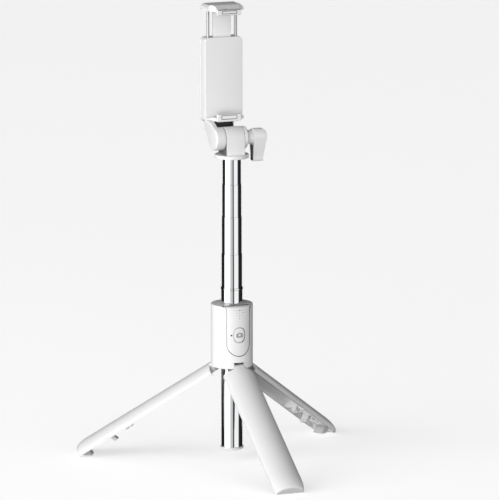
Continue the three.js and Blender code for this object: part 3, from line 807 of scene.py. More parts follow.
def remote_form(inset, radius, back):
    """The remote's body between a flat back and the barrel's surface.

    depth = sqrt(r(z)^2 - x^2) - fall(d), where r(z) loses top_round over the last stretch, d is the
    distance to the outline and fall is a quarter circle of radius seam_round.
    """
    heights = remote_heights(inset, hub_top - inset, 26, 14)[1:, None]
    share = np.sin(np.linspace(-1, 1, 61) * np.pi / 2)[None, :]
    x = remote_width(heights, inset) * share
    z = np.broadcast_to(heights, x.shape)
    half = remote_half - inset
    lower = half - np.hypot(x, np.minimum(z - round_height, 0))
    flare = np.hypot(np.abs(x) - remote_half - remote_flare, z - flare_height)
    upper = flare - remote_flare - inset
    distance = np.where(z > flare_height, np.minimum(upper, lower + 10.0), lower)
    fall = seam_round - np.sqrt(np.clip(
        seam_round**2 - np.clip(seam_round - distance, 0, seam_round)**2, 0, None))
    rolled = np.clip(z - (hub_top - inset - top_round), 0, top_round)
    reach = radius - top_round + np.sqrt(top_round**2 - rolled**2)
    front = -np.sqrt(reach**2 - x**2) + fall
    front = np.minimum(front, back - 0.05)
    face = np.stack([x, front, z], axis=-1)
    rear = np.stack([x, np.full_like(x, back), z], axis=-1)[:, ::-1]
    return np.concatenate([face, rear], axis=1)


button_place = box("remote_button")
button_height = (button_place[0][2] + button_place[1][2]) / 2
light_place = box("remote_light_pipe")
light_side = (light_place[0][0] + light_place[1][0]) / 2
button_half = 3.85
button_rise = 5.05
button_square = 2.5                       # 2 would be an ellipse, more is squarer


def oval(grow):
    """A superellipse round the button, grown by an amount: |x / a|^n + |z / b|^n = 1."""
    angle = np.linspace(0, 2 * np.pi, 72, endpoint=False)
    across, up = np.cos(angle), np.sin(angle)
    power = 2 / button_square
    return np.stack([(button_half + grow) * np.sign(across) * np.abs(across)**power,
                     button_height + (button_rise + grow) * np.sign(up) * np.abs(up)**power], axis=1)


def dimple_places():
    """Centres of a triangle of dimples that points down: each row is centred and has two fewer."""
    pitch, first = 1.9, 2.4
    places = [((i - (count - 1) / 2) * pitch, hub_top - first - row * pitch)
              for row, count in enumerate((7, 5, 3, 1)) for i in range(count)]
    return np.array(places)


def dimple(x, z):
    """A small cone that is cut into the face at a point."""
    depth = np.sqrt(hub_radius**2 - x**2)
    profile = [(0.02, -0.5), (0.2, -0.42), (0.38, 0.0), (0.42, 0.6)]
    rings = laid(turned(profile, 10), "y")
    rings[..., 1] *= -1
    return rings + np.array([x, -depth, z])


def remote_face():
    """The outer half of the remote, hollow, with openings for the button and the light."""
    shell = skin("remote_face", remote_form(0.1, hub_radius, -remote_joint - 0.05))
    hollow = skin("hollow", remote_form(1.0, hub_radius - 1.0, -remote_joint + 1.0))
    opening = skin("opening", laid(slab(oval(0.34), -20, -11), "y"))
    pipe_hole = cylinder("pipe_hole", 0.62, -20, -10, 32, "y", (light_side, 0, button_height))
    dimples = [skin("dimple", dimple(x, z)) for x, z in dimple_places()]
    return cut(shell, hollow, opening, pipe_hole, *dimples)


def faces_aside(middles, normals):
    """Faces that look sideways and lie below the barrel's surface: the walls along a seam."""
    outwards = (middles[:, :2] * normals[:, :2]).sum(axis=1) / np.hypot(middles[:, 0], middles[:, 1])
    return (outwards < 0.45) & (normals[:, 2] < 0.9)


face = complete(remote_face(), "remote", white_gloss, ["remote_front"])
# The remote's side walls along the seam get painted shade, which darkens the seam beyond the shadow
# that its rounding casts.
shade_within(face, seam_painted_shade, faces_aside)

# %% Back of the remote
back_low, back_high = box("remote_back")
back_cover = skin("remote_back_cover", laid(
    slab(remote_outline(0.1, hub_top), back_low[1], back_high[1], 0.2), "y"))
complete(back_cover, "remote", white_gloss, ["remote_back"])

# %% [markdown]
# ## Button, mark and light
#
# The shutter button is an oval cap that follows the barrel and is a touch proud of it. Its mark, a
# plain camera shape with a round lens, is printed on the real one; here it is an inlay that is a few
# hundredths of a millimetre proud, so that its edge stays sharp from close by. The light beside it is
# the rounded end of a clear pipe, dark while the light is off.

# %% Button
def barrel_depth(x, radius):
    """Depth of the barrel's surface at x: -sqrt(r^2 - x^2)."""
    return -np.sqrt(radius**2 - x**2)


def button_cap():
    """Rings that shrink from the skirt to the middle: share s of the oval, on the barrel's surface.

    The rim falls back by a quarter circle and the middle is raised a little: crown * (1 - s^2).
    """
    rim = 0.45
    crown = 0.06
    bend = np.linspace(0, np.pi / 2, 7)
    edge_share = 1 - rim * (1 - np.cos(bend)) / button_half
    inner_share = np.linspace(edge_share[-1], 0.0, 10)[1:]
    share = np.concatenate([edge_share, inner_share])[:, None]
    fall = np.concatenate([rim * (1 - np.sin(bend)), np.zeros(len(inner_share))])[:, None]
    outline = oval(0.0)
    x = share * outline[:, 0]
    z = button_height + share * (outline[:, 1] - button_height)
    y = barrel_depth(x, hub_radius + 0.02) + fall - crown * (1 - share**2) * (fall < 1e-9)
    face = np.stack([x, y, z], axis=-1)
    skirt = np.stack([outline[:, 0], np.full(len(outline), -12.0), outline[:, 1]], axis=-1)[None]
    flange = laid(slab(oval(0.5), -12.25, -11.8, 0.1), "y")
    cap = skin("shutter_button", np.concatenate([skirt, face]))
    return join(cap, skin("flange", flange))


cap = complete(button_cap(), "button", white_gloss, ["remote_button"])
# The button's skirt gets the same painted shade, so that its seam reads dark.
shade_within(cap, seam_painted_shade, faces_aside)


def divided(outline):
    """A closed outline with points at even distances, found along its running length."""
    step = 0.12
    closed = np.concatenate([outline, outline[:1]])
    run = np.concatenate([[0], np.cumsum(np.linalg.norm(np.diff(closed, axis=0), axis=1))])
    places = np.linspace(0, run[-1], int(run[-1] / step), endpoint=False)
    return np.stack([np.interp(places, run, closed[:, 0]), np.interp(places, run, closed[:, 1])], 1)


def inlay(name, outline, material, proud):
    """A thin plate with a flat outline, bent onto the button's face and standing proud of it.

    Each ring shrinks the outline towards its middle, and its depth follows the barrel's circle.
    """
    outline = divided(outline)
    middle = outline.mean(axis=0)
    share = np.linspace(1.0, 0.0, 7)[:, None, None]
    flat = middle + (outline - middle) * share
    face = barrel_depth(flat[..., 0], hub_radius + 0.08 + proud)
    top = np.stack([flat[..., 0], face, flat[..., 1]], axis=-1)
    foot = np.stack([outline[:, 0], barrel_depth(outline[:, 0], hub_radius - 0.4),
                     outline[:, 1]], axis=-1)[None]
    piece = skin(name, np.concatenate([foot, top]))
    piece.data.materials.append(material)
    piece.data.shade_smooth()
    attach(piece, "button")
    return piece


mark_grey = moulded("mark_grey", (0.38, 0.38, 0.39), 0.05, 0.4, 0.06, 2400.0, 0.000004, {})
mark_wide, mark_tall = 2.35, 1.45        # half the camera mark's width and height
hump_wide, hump_tall = 0.85, 0.42
mark_base = button_height - 0.1
camera_mark = rounded([
    (-mark_wide, mark_base - mark_tall), (mark_wide, mark_base - mark_tall),
    (mark_wide, mark_base + mark_tall), (hump_wide + 0.25, mark_base + mark_tall),
    (hump_wide, mark_base + mark_tall + hump_tall),
    (-hump_wide, mark_base + mark_tall + hump_tall),
    (-hump_wide - 0.25, mark_base + mark_tall), (-mark_wide, mark_base + mark_tall),
], [0.3, 0.3, 0.3, 0.08, 0.1, 0.1, 0.08, 0.3], 4)
lens_turn = np.linspace(0, 2 * np.pi, 40, endpoint=False)
lens_mark = np.stack([0.85 * np.cos(lens_turn), mark_base + 0.25 + 0.85 * np.sin(lens_turn)], axis=1)
inlay("camera_mark", camera_mark, mark_grey, 0.02)
inlay("lens_mark", lens_mark, white_gloss, 0.04)

# %% Turned pieces with rounded ends
def bar(radius, low, high, low_round, high_round, facets=64):
    """Rings of a round bar from low to high whose two rims are quarter circles."""
    bend = np.linspace(0, np.pi / 2, 7)
    lower = np.stack([radius - low_round * (1 - np.sin(bend)), low + low_round * (1 - np.cos(bend))], 1)
    upper = np.stack([radius - high_round * (1 - np.cos(bend)),
                      high - high_round * (1 - np.sin(bend))], 1)
    return turned(np.concatenate([lower, upper]), facets)


dark_lens = moulded("dark_lens", (0.05, 0.05, 0.055), 0.1, 0.12, 0.04, 2000.0, 0.000002,
                    {"Coat Weight": 0.6})
light_low, light_high = light_place
light_rings = bar(half_width("remote_light_pipe"), light_low[1], light_high[1], 0.28, 0.1, 32)
light = skin("status_light", laid(light_rings, "y", (light_side, 0, button_height)))
complete(light, "remote", dark_lens, ["remote_light_pipe"])

# %% [markdown]
# ## The legs
#
# Each leg is a third of a barrel: folded down, the three close round the tube and continue the hub.
# A leg's section is an arc with two short straight sides, joined by small arcs that touch both. The
# section runs down the leg, shrinks along a quarter ellipse at the tip and closes in a flat end. At
# the root each line of the leg starts where it clears the hub's skirt at every fold angle, which
# gives the curved shoulders. One sheet is worked out like this and Solidify gives it its wall, so
# that inside and outside stay parallel.

# %% Section of a leg
fold_angle = np.radians(90.0) - leg_slope
leg_half = hub_radius * np.sin(np.radians(50.0))
leg_depth = 7.65
leg_wall = 1.4
side_round = 1.5
rim_line = back_line - leg_depth
pivot_rise = pivot_height - floor_height
foot_clear = 0.3
tip_spare = 0.14                          # keeps the round tip inside the working model's box
leg_length = (pivot_rise - foot_clear + rim_line * np.cos(leg_slope)) / np.sin(leg_slope) - tip_spare


def leg_section(inset):
    """The leg's section from one rim over the back to the other, as (y, z) points.

    The back is an arc about the stick's axis. It touches a small arc at the angle whose sine is
    (half - round) / (radius - round), and that arc touches the straight side.
    """
    radius = hub_radius - inset
    half = leg_half - inset
    small = side_round - inset * 0.5
    middle = -pivot_radius
    touch = np.arcsin((half - small) / (radius - small))
    back = np.linspace(-touch, touch, 45)
    corner = np.linspace(touch, np.pi / 2, 8)[1:]
    corner_height = middle + (radius - small) * np.cos(touch)
    right = np.stack([half - small + small * np.sin(corner),
                      corner_height + small * np.cos(corner)], axis=1)
    side = np.stack([np.full(4, half), np.linspace(corner_height, rim_line, 5)[1:]], axis=1)
    right = np.concatenate([right, side])
    crown = np.stack([radius * np.sin(back), middle + radius * np.cos(back)], axis=1)
    left = right[::-1] * (-1, 1)
    return np.concatenate([left, crown, right])


def clear_start(y, z):
    """How far along each line must start to clear the hub: the last place that is inside its skirt.

    A point of the leg is turned by each fold angle, as x cos a + z sin a and z cos a - x sin a from
    the pin, and is inside if it is within the skirt's radius and above its lower edge.
    """
    along = np.arange(0, 12, 0.02)[:, None, None]
    fold = leg_slope + np.linspace(0, fold_angle, 24)[None, :, None]
    outwards = pivot_radius + along * np.cos(fold) + z * np.sin(fold)
    height = pivot_height - along * np.sin(fold) + z * np.cos(fold)
    inside = (outwards**2 + y**2 < (hub_radius + 0.45)**2) & (height > hub_bottom - 0.4)
    return np.maximum(root_start, (along[:, 0] * inside.any(axis=1)).max(axis=0))


root_start = 4.2                          # where the shell may start; the tongue alone reaches the pin
tip_length = 10.0
tip_narrow = 0.15                         # share of the width lost at the tip
tip_lower = 0.33                          # share of the height lost at the tip


def leg_sheet():
    """Rows along the leg, each a section: x(share), y * narrow(x), rim + (z - rim) * lower(x).

    Over the tip both scales fall as 1 - loss * (1 - cos a) while x grows as sin a. The last rows
    shrink the end section to the middle of the rim, which closes the end.
    """
    outer = leg_section(0.0)
    inner = leg_section(leg_wall)
    start = np.maximum(clear_start(outer[:, 0], outer[:, 1]), clear_start(inner[:, 0], inner[:, 1]))
    straight = np.linspace(0, 1, 40)[:, None]
    x = start + (leg_length - tip_length - start) * straight
    bend = np.linspace(0, np.pi / 2, 14)[1:, None]
    drop = 1 - np.cos(bend)
    tip_x = leg_length - tip_length * (1 - np.sin(bend)) + np.zeros(len(outer))
    x = np.concatenate([x, tip_x])
    drop = np.concatenate([np.zeros((len(straight), 1)), drop])
    y = outer[:, 0] * (1 - tip_narrow * drop)
    z = rim_line + (outer[:, 1] - rim_line) * (1 - tip_lower * drop)
    shrink = np.linspace(1, 0, 7)[1:, None]
    end = [np.full((len(shrink), len(outer)), leg_length), y[-1] * shrink,
           rim_line + (z[-1] - rim_line) * shrink]
    rows = [np.concatenate([first, last]) for first, last in zip((x, y, z), end)]
    return np.stack(rows, axis=-1)


def open_sheet(name, grid):
    """A mesh over a grid of points that is open at its edges."""
    rows, columns = grid.shape[:2]
    row = np.arange(rows - 1)[:, None] * columns
    column = np.arange(columns - 1)
    corners = [row + column, row + columns + column, row + columns + column + 1, row + column + 1]
    mesh = bpy.data.meshes.new(name)
    mesh.from_pydata((grid.reshape(-1, 3) * MM).tolist(), [],
                     np.stack(corners, axis=-1).reshape(-1, 4).tolist())
    work = bmesh.new()
    work.from_mesh(mesh)
    bmesh.ops.remove_doubles(work, verts=work.verts, dist=1e-7)
    work.to_mesh(mesh)
    work.free()
    return placed(name, mesh)


def walled(sheet, wall, edge):
    """A sheet given a wall on its inner side and rounded rims, with both steps applied."""
    thickness = sheet.modifiers.new("wall", "SOLIDIFY")
    thickness.thickness = wall * MM
    thickness.offset = -1.0
    thickness.use_even_offset = True
    rims = sheet.modifiers.new("rims", "BEVEL")
    rims.width = edge * MM
    rims.segments = 2
    rims.limit_method = "ANGLE"
    rims.angle_limit = np.radians(55.0)
    return combine(sheet, [], "UNION")


# %% Ribs, hook and post under a leg
rib_places = (74.5, 84.5)                 # from the hinge pin along the leg
nub_places = (72.8, 76.3)
rib_thickness = 1.2
hook_half = 2.5


def rib(along):
    """A plate across the leg that is cut out round the folded tube."""
    tube_room = 8.3
    outer = leg_section(0.7)
    reach = np.arccos((rim_line + 0.3 + pivot_radius) / tube_room)
    turn = np.linspace(reach, -reach, 30)
    inner = np.stack([tube_room * np.sin(turn), tube_room * np.cos(turn) - pivot_radius], axis=1)
    outline = np.concatenate([outer[outer[:, 1] > rim_line + 0.3], inner])
    return slab(outline, along, along + rib_thickness, 0.15, 2)


def leg_tongue():
    """The tongue round the hinge pin; its back is cut to the circle of the leg's back."""
    tongue_back = 2.6
    knuckle = np.radians(np.linspace(120, 270, 12))
    tongue = np.concatenate([
        tongue_back * np.stack([np.cos(knuckle), np.sin(knuckle)], axis=1),
        [(10, -tongue_back), (15, back_line - leg_wall), (15, back_line - 0.2),
         (root_start, back_line - 0.04), (2.0, back_line - 0.18), (0.3, back_line - 0.5)]])
    body = skin("tongue", laid(slab(tongue, -tongue_half, tongue_half, 0.25, 3), "y"))
    crown = cylinder("crown", hub_radius - 0.02, -8, 20, 180, "x", (0, 0, -pivot_radius))
    return common(body, crown)


def leg_details():
    """Two ribs, two nubs and the hook, in the leg's frame."""
    hook = rounded([(88, back_line - 1), (88, rim_line - 1.5), (86.8, rim_line - 4.4),
                    (89.6, rim_line - 4.4), (90.4, rim_line - 1.5), (90.4, back_line - 1)],
                   [0.1, 0.5, 0.35, 0.5, 0.5, 0.1], 4)
    pieces = [laid(slab(hook, -hook_half, hook_half, 0.3, 3), "y")]
    pieces += [laid(rib(along), "x") for along in rib_places]
    pieces += [brick((along, along + 2.0), (-1.6, 1.6), (rim_line - 2, back_line - 1))
               for along in nub_places]
    return pieces


def leg_post():
    """A low post with a hole through it, near the tip."""
    post = skin("post", brick((98.4, 99.8), (-3, 3), (rim_line + 0.2, back_line - 1), 0.3, 0.25))
    hole = cylinder("post_hole", 0.9, 97, 101, 32, "x", (0, 0, rim_line + 2.0))
    return cut(post, hole)


def hinge_hole():
    """The hole for the pin through the tongue."""
    return cylinder("hinge_hole", 0.98, -10, 10, 32, "y")


def leg_body():
    """Walled sheet joined to what is moulded under it."""
    shell = walled(open_sheet("leg_pattern", leg_sheet()), leg_wall, 0.3)
    parts = [skin("leg_part", rings) for rings in leg_details()]
    return cut(join(shell, leg_tongue(), *parts, leg_post()), hinge_hole())


leg_pattern = leg_body()
print("a leg is", round(leg_length, 1), "mm long")

# %% Three legs
def opened(points, turn):
    """Points of a leg's own frame at the open leg: turned down by the slope, out to the pin, round."""
    x, y, z = points[..., 0], points[..., 1], points[..., 2]
    outwards = pivot_radius + x * np.cos(leg_slope) + z * np.sin(leg_slope)
    height = pivot_height - x * np.sin(leg_slope) + z * np.cos(leg_slope)
    return turned_about(np.stack([outwards, y, height], axis=-1), turn)


def opened_copy(pattern, name, turn):
    """A copy of a mesh made in the leg's frame, with its points at the open leg."""
    mesh = pattern.data.copy()
    points = np.empty(len(mesh.vertices) * 3)
    mesh.vertices.foreach_get("co", points)
    moved = opened(points.reshape(-1, 3) / MM, turn) * MM
    mesh.vertices.foreach_set("co", moved.ravel())
    mesh.update()
    return placed(name, mesh)


def foot_grip():
    """The wedge of rubber under the tip, whose underside is level with the floor when open."""
    def floor_line(along):
        return (along * np.sin(leg_slope) - pivot_rise) / np.cos(leg_slope) + 0.02

    inner = leg_length - 6.8
    outer = leg_length - leg_wall - clearance
    ceiling = rim_line + 2.2
    wedge = rounded([(inner, floor_line(inner)), (outer, floor_line(outer)), (outer, ceiling),
                     (inner + 1.2, ceiling), (inner, rim_line)], [0.5, 0.4, 0.3, 0.3, 0.3], 4)
    grip = skin("grip", laid(slab(wedge, -4.0, 4.0, 0.4, 3), "y"))
    slot_starts = [leg_length - 5.7, leg_length - 4.3, leg_length - 2.9]
    slots = [skin("slot", brick((start, start + 0.6), (-3.1, 3.1),
                                (-20, floor_line(start) + 0.7), 0.2, 0.15))
             for start in slot_starts]
    return cut(grip, *slots)


grip_pattern = foot_grip()
pin_half = half_width("leg_pin_front")
pin_pattern = skin("pin_pattern", laid(bar(0.9, -pin_half, pin_half, 0.2, 0.2, 40), "y"))
for side, body in leg_sides.items():
    turn = leg_turns[side]
    complete(opened_copy(leg_pattern, f"leg_{side}_shell", turn), body, white_gloss,
             [f"leg_shell_{side}"])
    complete(opened_copy(grip_pattern, f"foot_grip_{side}", turn), body,
             foot_rubber, [f"foot_pad_{side}"])
    complete(opened_copy(pin_pattern, f"hinge_pin_{side}", turn), "hub", bolt_steel,
             [f"leg_pin_{side}"])
for pattern in (leg_pattern, grip_pattern, pin_pattern):
    bpy.data.objects.remove(pattern)

# %% [markdown]
# ## The tilt head
#
# The head is a disc with a round-topped block on it. The clamp's ear, the block and a washer sit
# side by side on one bolt, and the wing knob on its right end clamps them together. All four are
# shapes about the same axis across the stick, so each is a profile or an outline laid along X. The
# knob's wing is a teardrop: a circle about the bolt that runs into a narrow tip. It is hollow on the
# side that faces the stick.

# %% Head block, washer and knob
bolt_low, bolt_high = box("tilt_bolt")
tilt_height = (bolt_low[2] + bolt_high[2]) / 2
bolt_axis = (0.0, 0.0, tilt_height)
barrel = 7.75
bolt_hole = 2.15
block_half = 6.6
ear_end = 6.95                            # where the clamp's ear ends, left of the block
joint_middle = 6.78                       # between the block's end and what lies beside it


def upper_arc(radius, start=0.0, end=180.0, points=49):
    """Points of an arc about the bolt, in (y, z)."""
    angle = np.radians(np.linspace(start, end, points))
    return np.stack([radius * np.cos(angle), tilt_height + radius * np.sin(angle)], axis=1)


def across_stick(name, rings):
    """A turned shape laid along X about the bolt."""
    return skin(name, laid(rings, "x", bolt_axis))


def head_block():
    """Disc and block, less the bores for the swivel post and the bolt."""
    low, _ = box("head_base")
    disc_top = low[2] + 2.4
    disc = skin("tilt_head_base", bar(half_width("head_base"), low[2], disc_top, 0.3, 0.5, 128))
    outline = np.concatenate([upper_arc(barrel), [(-barrel, disc_top - 1), (barrel, disc_top - 1)]])
    block = skin("block", laid(slab(outline, -block_half, block_half, 0.2), "x"))
    post_bore = cylinder("bore", 2.6, low[2] - 2, tilt_height - 8.4)
    clip_bore = cylinder("bore", 4.6, tilt_height - 8.9, tilt_height)
    bolt_bore = cylinder("bore", bolt_hole, -10, 10, 48, "x", bolt_axis)
    return cut(join(disc, block), post_bore, clip_bore, bolt_bore)


def in_joint(middles, normals):
    """Flat faces that look along the bolt, beside it and within the barrel's circle."""
    from_axis = np.hypot(middles[:, 1], middles[:, 2] - tilt_height)
    return (np.abs(normals[:, 0]) > 0.95) & (from_axis < barrel - 0.15) & (
        np.abs(np.abs(middles[:, 0]) - joint_middle) < 0.25)


block = complete(head_block(), "head", white_gloss, ["head_base"], edge=0.12)
# The block's end faces beside the ear and the washer get painted shade, which draws the joint's gaps as
# dark lines.
shade_within(block, inner_painted_shade, in_joint)

washer_low, washer_high = box("tilt_washer")
washer_profile = rounded([(bolt_hole, washer_low[0]), (barrel - 0.1, washer_low[0]),
                          (barrel - 0.1, washer_high[0]), (bolt_hole, washer_high[0])],
                         [0.1, 0.2, 0.95, 0.1])
washer = skin("friction_washer", laid(turned(washer_profile, 120), "x", bolt_axis),
              closed=True)
complete(washer, "head", white_gloss, ["tilt_washer"])
# The washer's flat faces in the joint get the same painted shade.
shade_within(washer, inner_painted_shade, in_joint)


def knob_wing():
    """Teardrop cut to its side outline, with a collar, a bolt hole and a hollow left side."""
    low, high = box("wing_knob")
    left, right, tip = low[0], high[0], low[2]
    radius = high[2] - tilt_height
    body = left + 4.7
    tip_half = 2.9
    teardrop = np.concatenate([
        upper_arc(radius, -8, 188, 61),
        rounded([(-tip_half, tip + 4), (-tip_half, tip), (tip_half, tip), (tip_half, tip + 4)],
                [0.1, 1.1, 1.1, 0.1])])
    wing = skin("clamp_knob", laid(slab(teardrop, body, right, 0.5, 6), "x"))
    side = rounded([(body - 1, tip - 1), (right - 1.9, tip - 1), (right, tilt_height),
                    (right, tilt_height + radius), (body - 1, tilt_height + radius)],
                   [0.2, 0.2, 12.0, 3.0, 0.2], 12)
    wing = common(wing, skin("side", laid(slab(side, -20, 20), "y")))
    hollow = skin("hollow", brick((body - 3, body + 5.5), (-2.1, 2.1),
                                  (tip + 1.3, tilt_height - radius + 0.2), 0.8, 0.5))
    wing = cut(wing, hollow)
    collar = across_stick("collar", bar(4.7, left, body + 0.6, 0.35, 0.1))
    return cut(join(wing, collar), cylinder("bore", 2.3, 0, 20, 48, "x", bolt_axis))


def in_knob(middles, normals):
    """Faces inside the wing's hollow, which is narrower than the wing."""
    low, _ = box("wing_knob")
    return ((np.abs(middles[:, 1]) < 2.15) & (middles[:, 2] < tilt_height - 4.8)
            & (middles[:, 2] > low[2] + 1.1) & (middles[:, 0] < low[0] + 10.4))


knob = complete(knob_wing(), "knob", white_gloss, ["wing_knob"], edge=0.1)
# The inside of the wing's hollow is painted near black, a painted shadow.
shade_within(knob, inner_painted_shade, in_knob)

# %% [markdown]
# ## The clamp
#
# Two jaws hold the phone by its long sides. The lower one is one moulding with the ear, the arm
# beside the block, the platform, the lip and the hollow body behind the phone. Each of those is an
# outline with rounded corners raised to a thickness, and a Boolean joins them where they overlap.
# The jaws share one plan: a narrow lip that widens to the body through curved shoulders.

# %% Lower jaw and body
frame_low, _ = box("clamp_frame")
cover_low, cover_high = box("clamp_back_cover")
body_half = cover_high[0]
body_bottom, body_top = cover_low[2], cover_high[2]
lip_half = 8.6
lip_front = 3.9
grip_front = lip_front + 2.3
grip_back = 14.3
grip_bottom = body_bottom + 4.8
pad_gap = 0.7
slider_half, slider_front, slider_back = 6.4, 17.2, 19.2
guide_side, guide_depth, guide_radius = 10.0, 18.2, 1.0
screw_side = 5.0
screw_height = box("cover_screw_left")[0][2] + 1.8


def jaw_plan(front, back):
    """Plan of a jaw in (x, y): lip, curved shoulder, body."""
    shoulder = grip_back - 2.3
    right = [(lip_half, front), (lip_half, shoulder), (body_half, shoulder), (body_half, back)]
    left = [(-x, y) for x, y in reversed(right)]
    return rounded(right + left, [0.9, 4.2, 0.6, 0.5, 0.5, 0.6, 4.2, 0.9], 10)


def upright(name, outline, front, back, edge=0.0):
    """An outline in (x, z) raised from front to back."""
    return skin(name, laid(slab(outline, front, back, edge), "y"))


def guide_bores(name, low, high):
    """Tools for a bore round each guide rod."""
    return [cylinder(name, guide_radius + 0.1, low, high, 48, "z", (x, guide_depth, 0))
            for x in (-guide_side, guide_side)]


def lower_jaw_parts():
    """The bodies that the clamp's frame is joined from; the first is its main body."""
    body = upright("clamp_body", rectangle((-body_half, body_half), (body_bottom, body_top), 3.0, 10),
                   grip_back, cover_low[1] - 0.1, 0.45)
    ear = across_stick("ear", bar(barrel, frame_low[0], -ear_end, 1.3, 0.2, 96))
    web = rounded([(-2, tilt_height + 7.3), (0, tilt_height - 1), (6.5, tilt_height - 4),
                   (grip_back + 1.1, tilt_height + 4.6), (grip_back + 1.1, body_bottom + 2.1),
                   (4.9, body_bottom + 1.95)], [0.6, 0.6, 2.0, 0.6, 0.6, 0.5])
    arm = skin("arm", laid(slab(web, frame_low[0] + 0.03, frame_low[0] + 3.4, 0.5), "x"))
    neck = skin("neck", brick((frame_low[0] + 0.06, 5), (8.4, grip_back + 0.9),
                              (tilt_height + 5, body_bottom + 2.2), 0.6, 0.4))
    platform = skin("platform", slab(jaw_plan(lip_front + 0.6, grip_back + 0.8),
                                     body_bottom + 1.9, grip_bottom - pad_gap, 0.35))
    lip = upright("lip", rectangle((-lip_half, lip_half), (body_bottom + 1.85, grip_bottom + 2.3),
                                   [1.6, 1.6, 0.5, 0.5], 8), lip_front, grip_front, 0.35)
    return body, ear, arm, neck, platform, lip


def lower_jaw_cuts():
    """Hollow, slider throat, panel groove, hollow of the neck, nut pocket and guide holes."""
    hollow = skin("hollow", brick((-body_half + 1.4, body_half - 1.4), (15.6, 30),
                                  (body_bottom + 1.7, body_top - 1.5), 1.0, 0.5))
    throat = skin("throat", brick(
        (-slider_half - clearance, slider_half + clearance),
        (slider_front - clearance, slider_back + clearance), (body_top - 5, body_top + 5)))
    panel = panel_groove((-5.9, 5.7), (grip_bottom - 1.4, grip_bottom + 1.7), 0.8)
    neck_hollow = skin("neck_hollow", brick((-9.6, 4.3), (5, grip_back - 0.6),
                                            (tilt_height + 5.7, body_bottom + 1.7), 0.4, 0.3))
    guides = guide_bores("guide_hole", body_top - 5, body_top + 5)
    nut_pocket = cylinder("nut_pocket", 3.9, -12.8, 0, 6, "x", bolt_axis)
    return [hollow, throat, panel, neck_hollow, nut_pocket] + guides


def at_screws(name, radius, low, high):
    """A cylinder along Y at each of the two screws."""
    return [cylinder(name, radius, low, high, 40, "y", (x, 0, screw_height))
            for x in (-screw_side, screw_side)]


def lower_jaw():
    """Joined parts, less the cuts, plus two screw bosses with their threads' bores."""
    parts = lower_jaw_parts()
    made = cut(join(*parts), *lower_jaw_cuts())
    bosses = at_screws("boss", 2.1, 15, cover_low[1] - 0.2)
    return cut(join(made, *bosses), *at_screws("bore", 1.0, 16.5, 30))


def panel_groove(across, up, radius):
    """A cutter for a narrow groove round a panel on a jaw's lip: a frame 0.5 mm wide."""
    wide = 0.5
    outer = upright("groove", rectangle(across, up, radius), lip_front - 1, lip_front + 0.6)
    inner = upright("panel", rectangle((across[0] + wide, across[1] - wide),
                                       (up[0] + wide, up[1] - wide), radius - 0.2),
                    lip_front - 2, lip_front + 1)
    return cut(outer, inner)


def in_groove(middles, normals):
    """Faces just behind the lip's front: the walls and the floor of the groove."""
    return ((middles[:, 1] > lip_front + 0.05) & (middles[:, 1] < lip_front + 0.65)
            & (np.abs(middles[:, 0]) < lip_half - 1.5))


def in_neck(middles, normals):
    """Faces of the hollow in the neck and of the ear's right end."""
    neck = ((middles[:, 0] > -9.75) & (middles[:, 0] < 4.45) & (middles[:, 1] > 8.45)
            & (middles[:, 1] < grip_back - 0.4) & (middles[:, 2] > tilt_height + 5.5)
            & (middles[:, 2] < body_bottom + 1.85))
    return neck | in_joint(middles, normals)


clamp_body = complete(lower_jaw(), "clamp", white_gloss, ["clamp_frame"], edge=0.12)
clamp_body.name = "clamp_lower_jaw"
# The neck's hollow and the ear's right end are painted near black: painted shade under the platform and
# in the joint.
shade_within(clamp_body, inner_painted_shade, in_neck)
# The groove round the lower lip's panel gets painted shade, which draws it as a dark line.
shade_within(clamp_body, seam_painted_shade, in_groove)

# %% Cover, screws and pads
cover = upright("rear_cover", rectangle((-body_half, body_half), (body_bottom, body_top), 3.0, 10),
                cover_low[1], cover_high[1], 0.45)
recesses = at_screws("recess", 2.1, cover_high[1] - 0.9, 30)
through = at_screws("through", 1.1, 20, 30)
complete(cut(cover, *recesses, *through), "clamp", white_satin,
         ["clamp_back_cover"], edge=0.08)


def cover_screw(name, x):
    """A shank and a domed head with a cross recess."""
    low, high = box(name)
    shank = skin(f"{name}_turned", laid(bar(0.8, low[1], high[1] - 0.3, 0.3, 0.05, 40), "y",
                                        (x, 0, screw_height)))
    cap = skin("cap", laid(bar(1.8, high[1] - 0.6, high[1], 0.05, 0.3, 48), "y",
                           (x, 0, screw_height)))
    slots = [skin("slot", brick((x - wide, x + wide), (high[1] - 0.35, high[1] + 1),
                                (screw_height - tall, screw_height + tall), 0.05, 0.05))
             for wide, tall in ((1.15, 0.22), (0.22, 1.15))]
    return complete(cut(join(shank, cap), *slots), "clamp", bolt_steel, [name])


cover_screw("cover_screw_left", -screw_side)
cover_screw("cover_screw_right", screw_side)


def jaw_pad(node, body, upper):
    """A rubber strip whose gripping side is a row of rounded ribs: height = base + |cos| ribs."""
    low, high = box(node)
    steps = np.linspace(0, 1, 141)
    x = low[0] + 0.05 + (high[0] - low[0] - 0.1) * steps
    ribs = 0.25 * np.abs(np.cos(steps * np.pi * 14))
    face = high[2] - 0.27 + ribs if not upper else low[2] + 0.27 - ribs
    flat = low[2] if not upper else high[2]
    outline = np.stack([np.concatenate([x, [x[-1], x[0]]]),
                        np.concatenate([face, [flat, flat]])], axis=1)
    rings = laid(slab(outline, low[1] + 0.02, high[1] - 0.02), "y")
    return complete(skin(f"{node}_ribbed", rings), body, jaw_rubber, [node])


jaw_pad("jaw_pad_lower", "clamp", False)
jaw_pad("jaw_pad_upper", "jaw", True)

# %% [markdown]
# ## The sliding jaw
#
# The upper jaw is a hood on a flat slider that runs into the clamp's body between two guide rods.
# The hood is what three outlines have in common: the jaw's plan, its front with rounded corners and
# its side with a sloping, rounded brow. A lip hangs from its front edge with a grooved panel on it,
# and a thin lens-shaped slit sits above the panel.

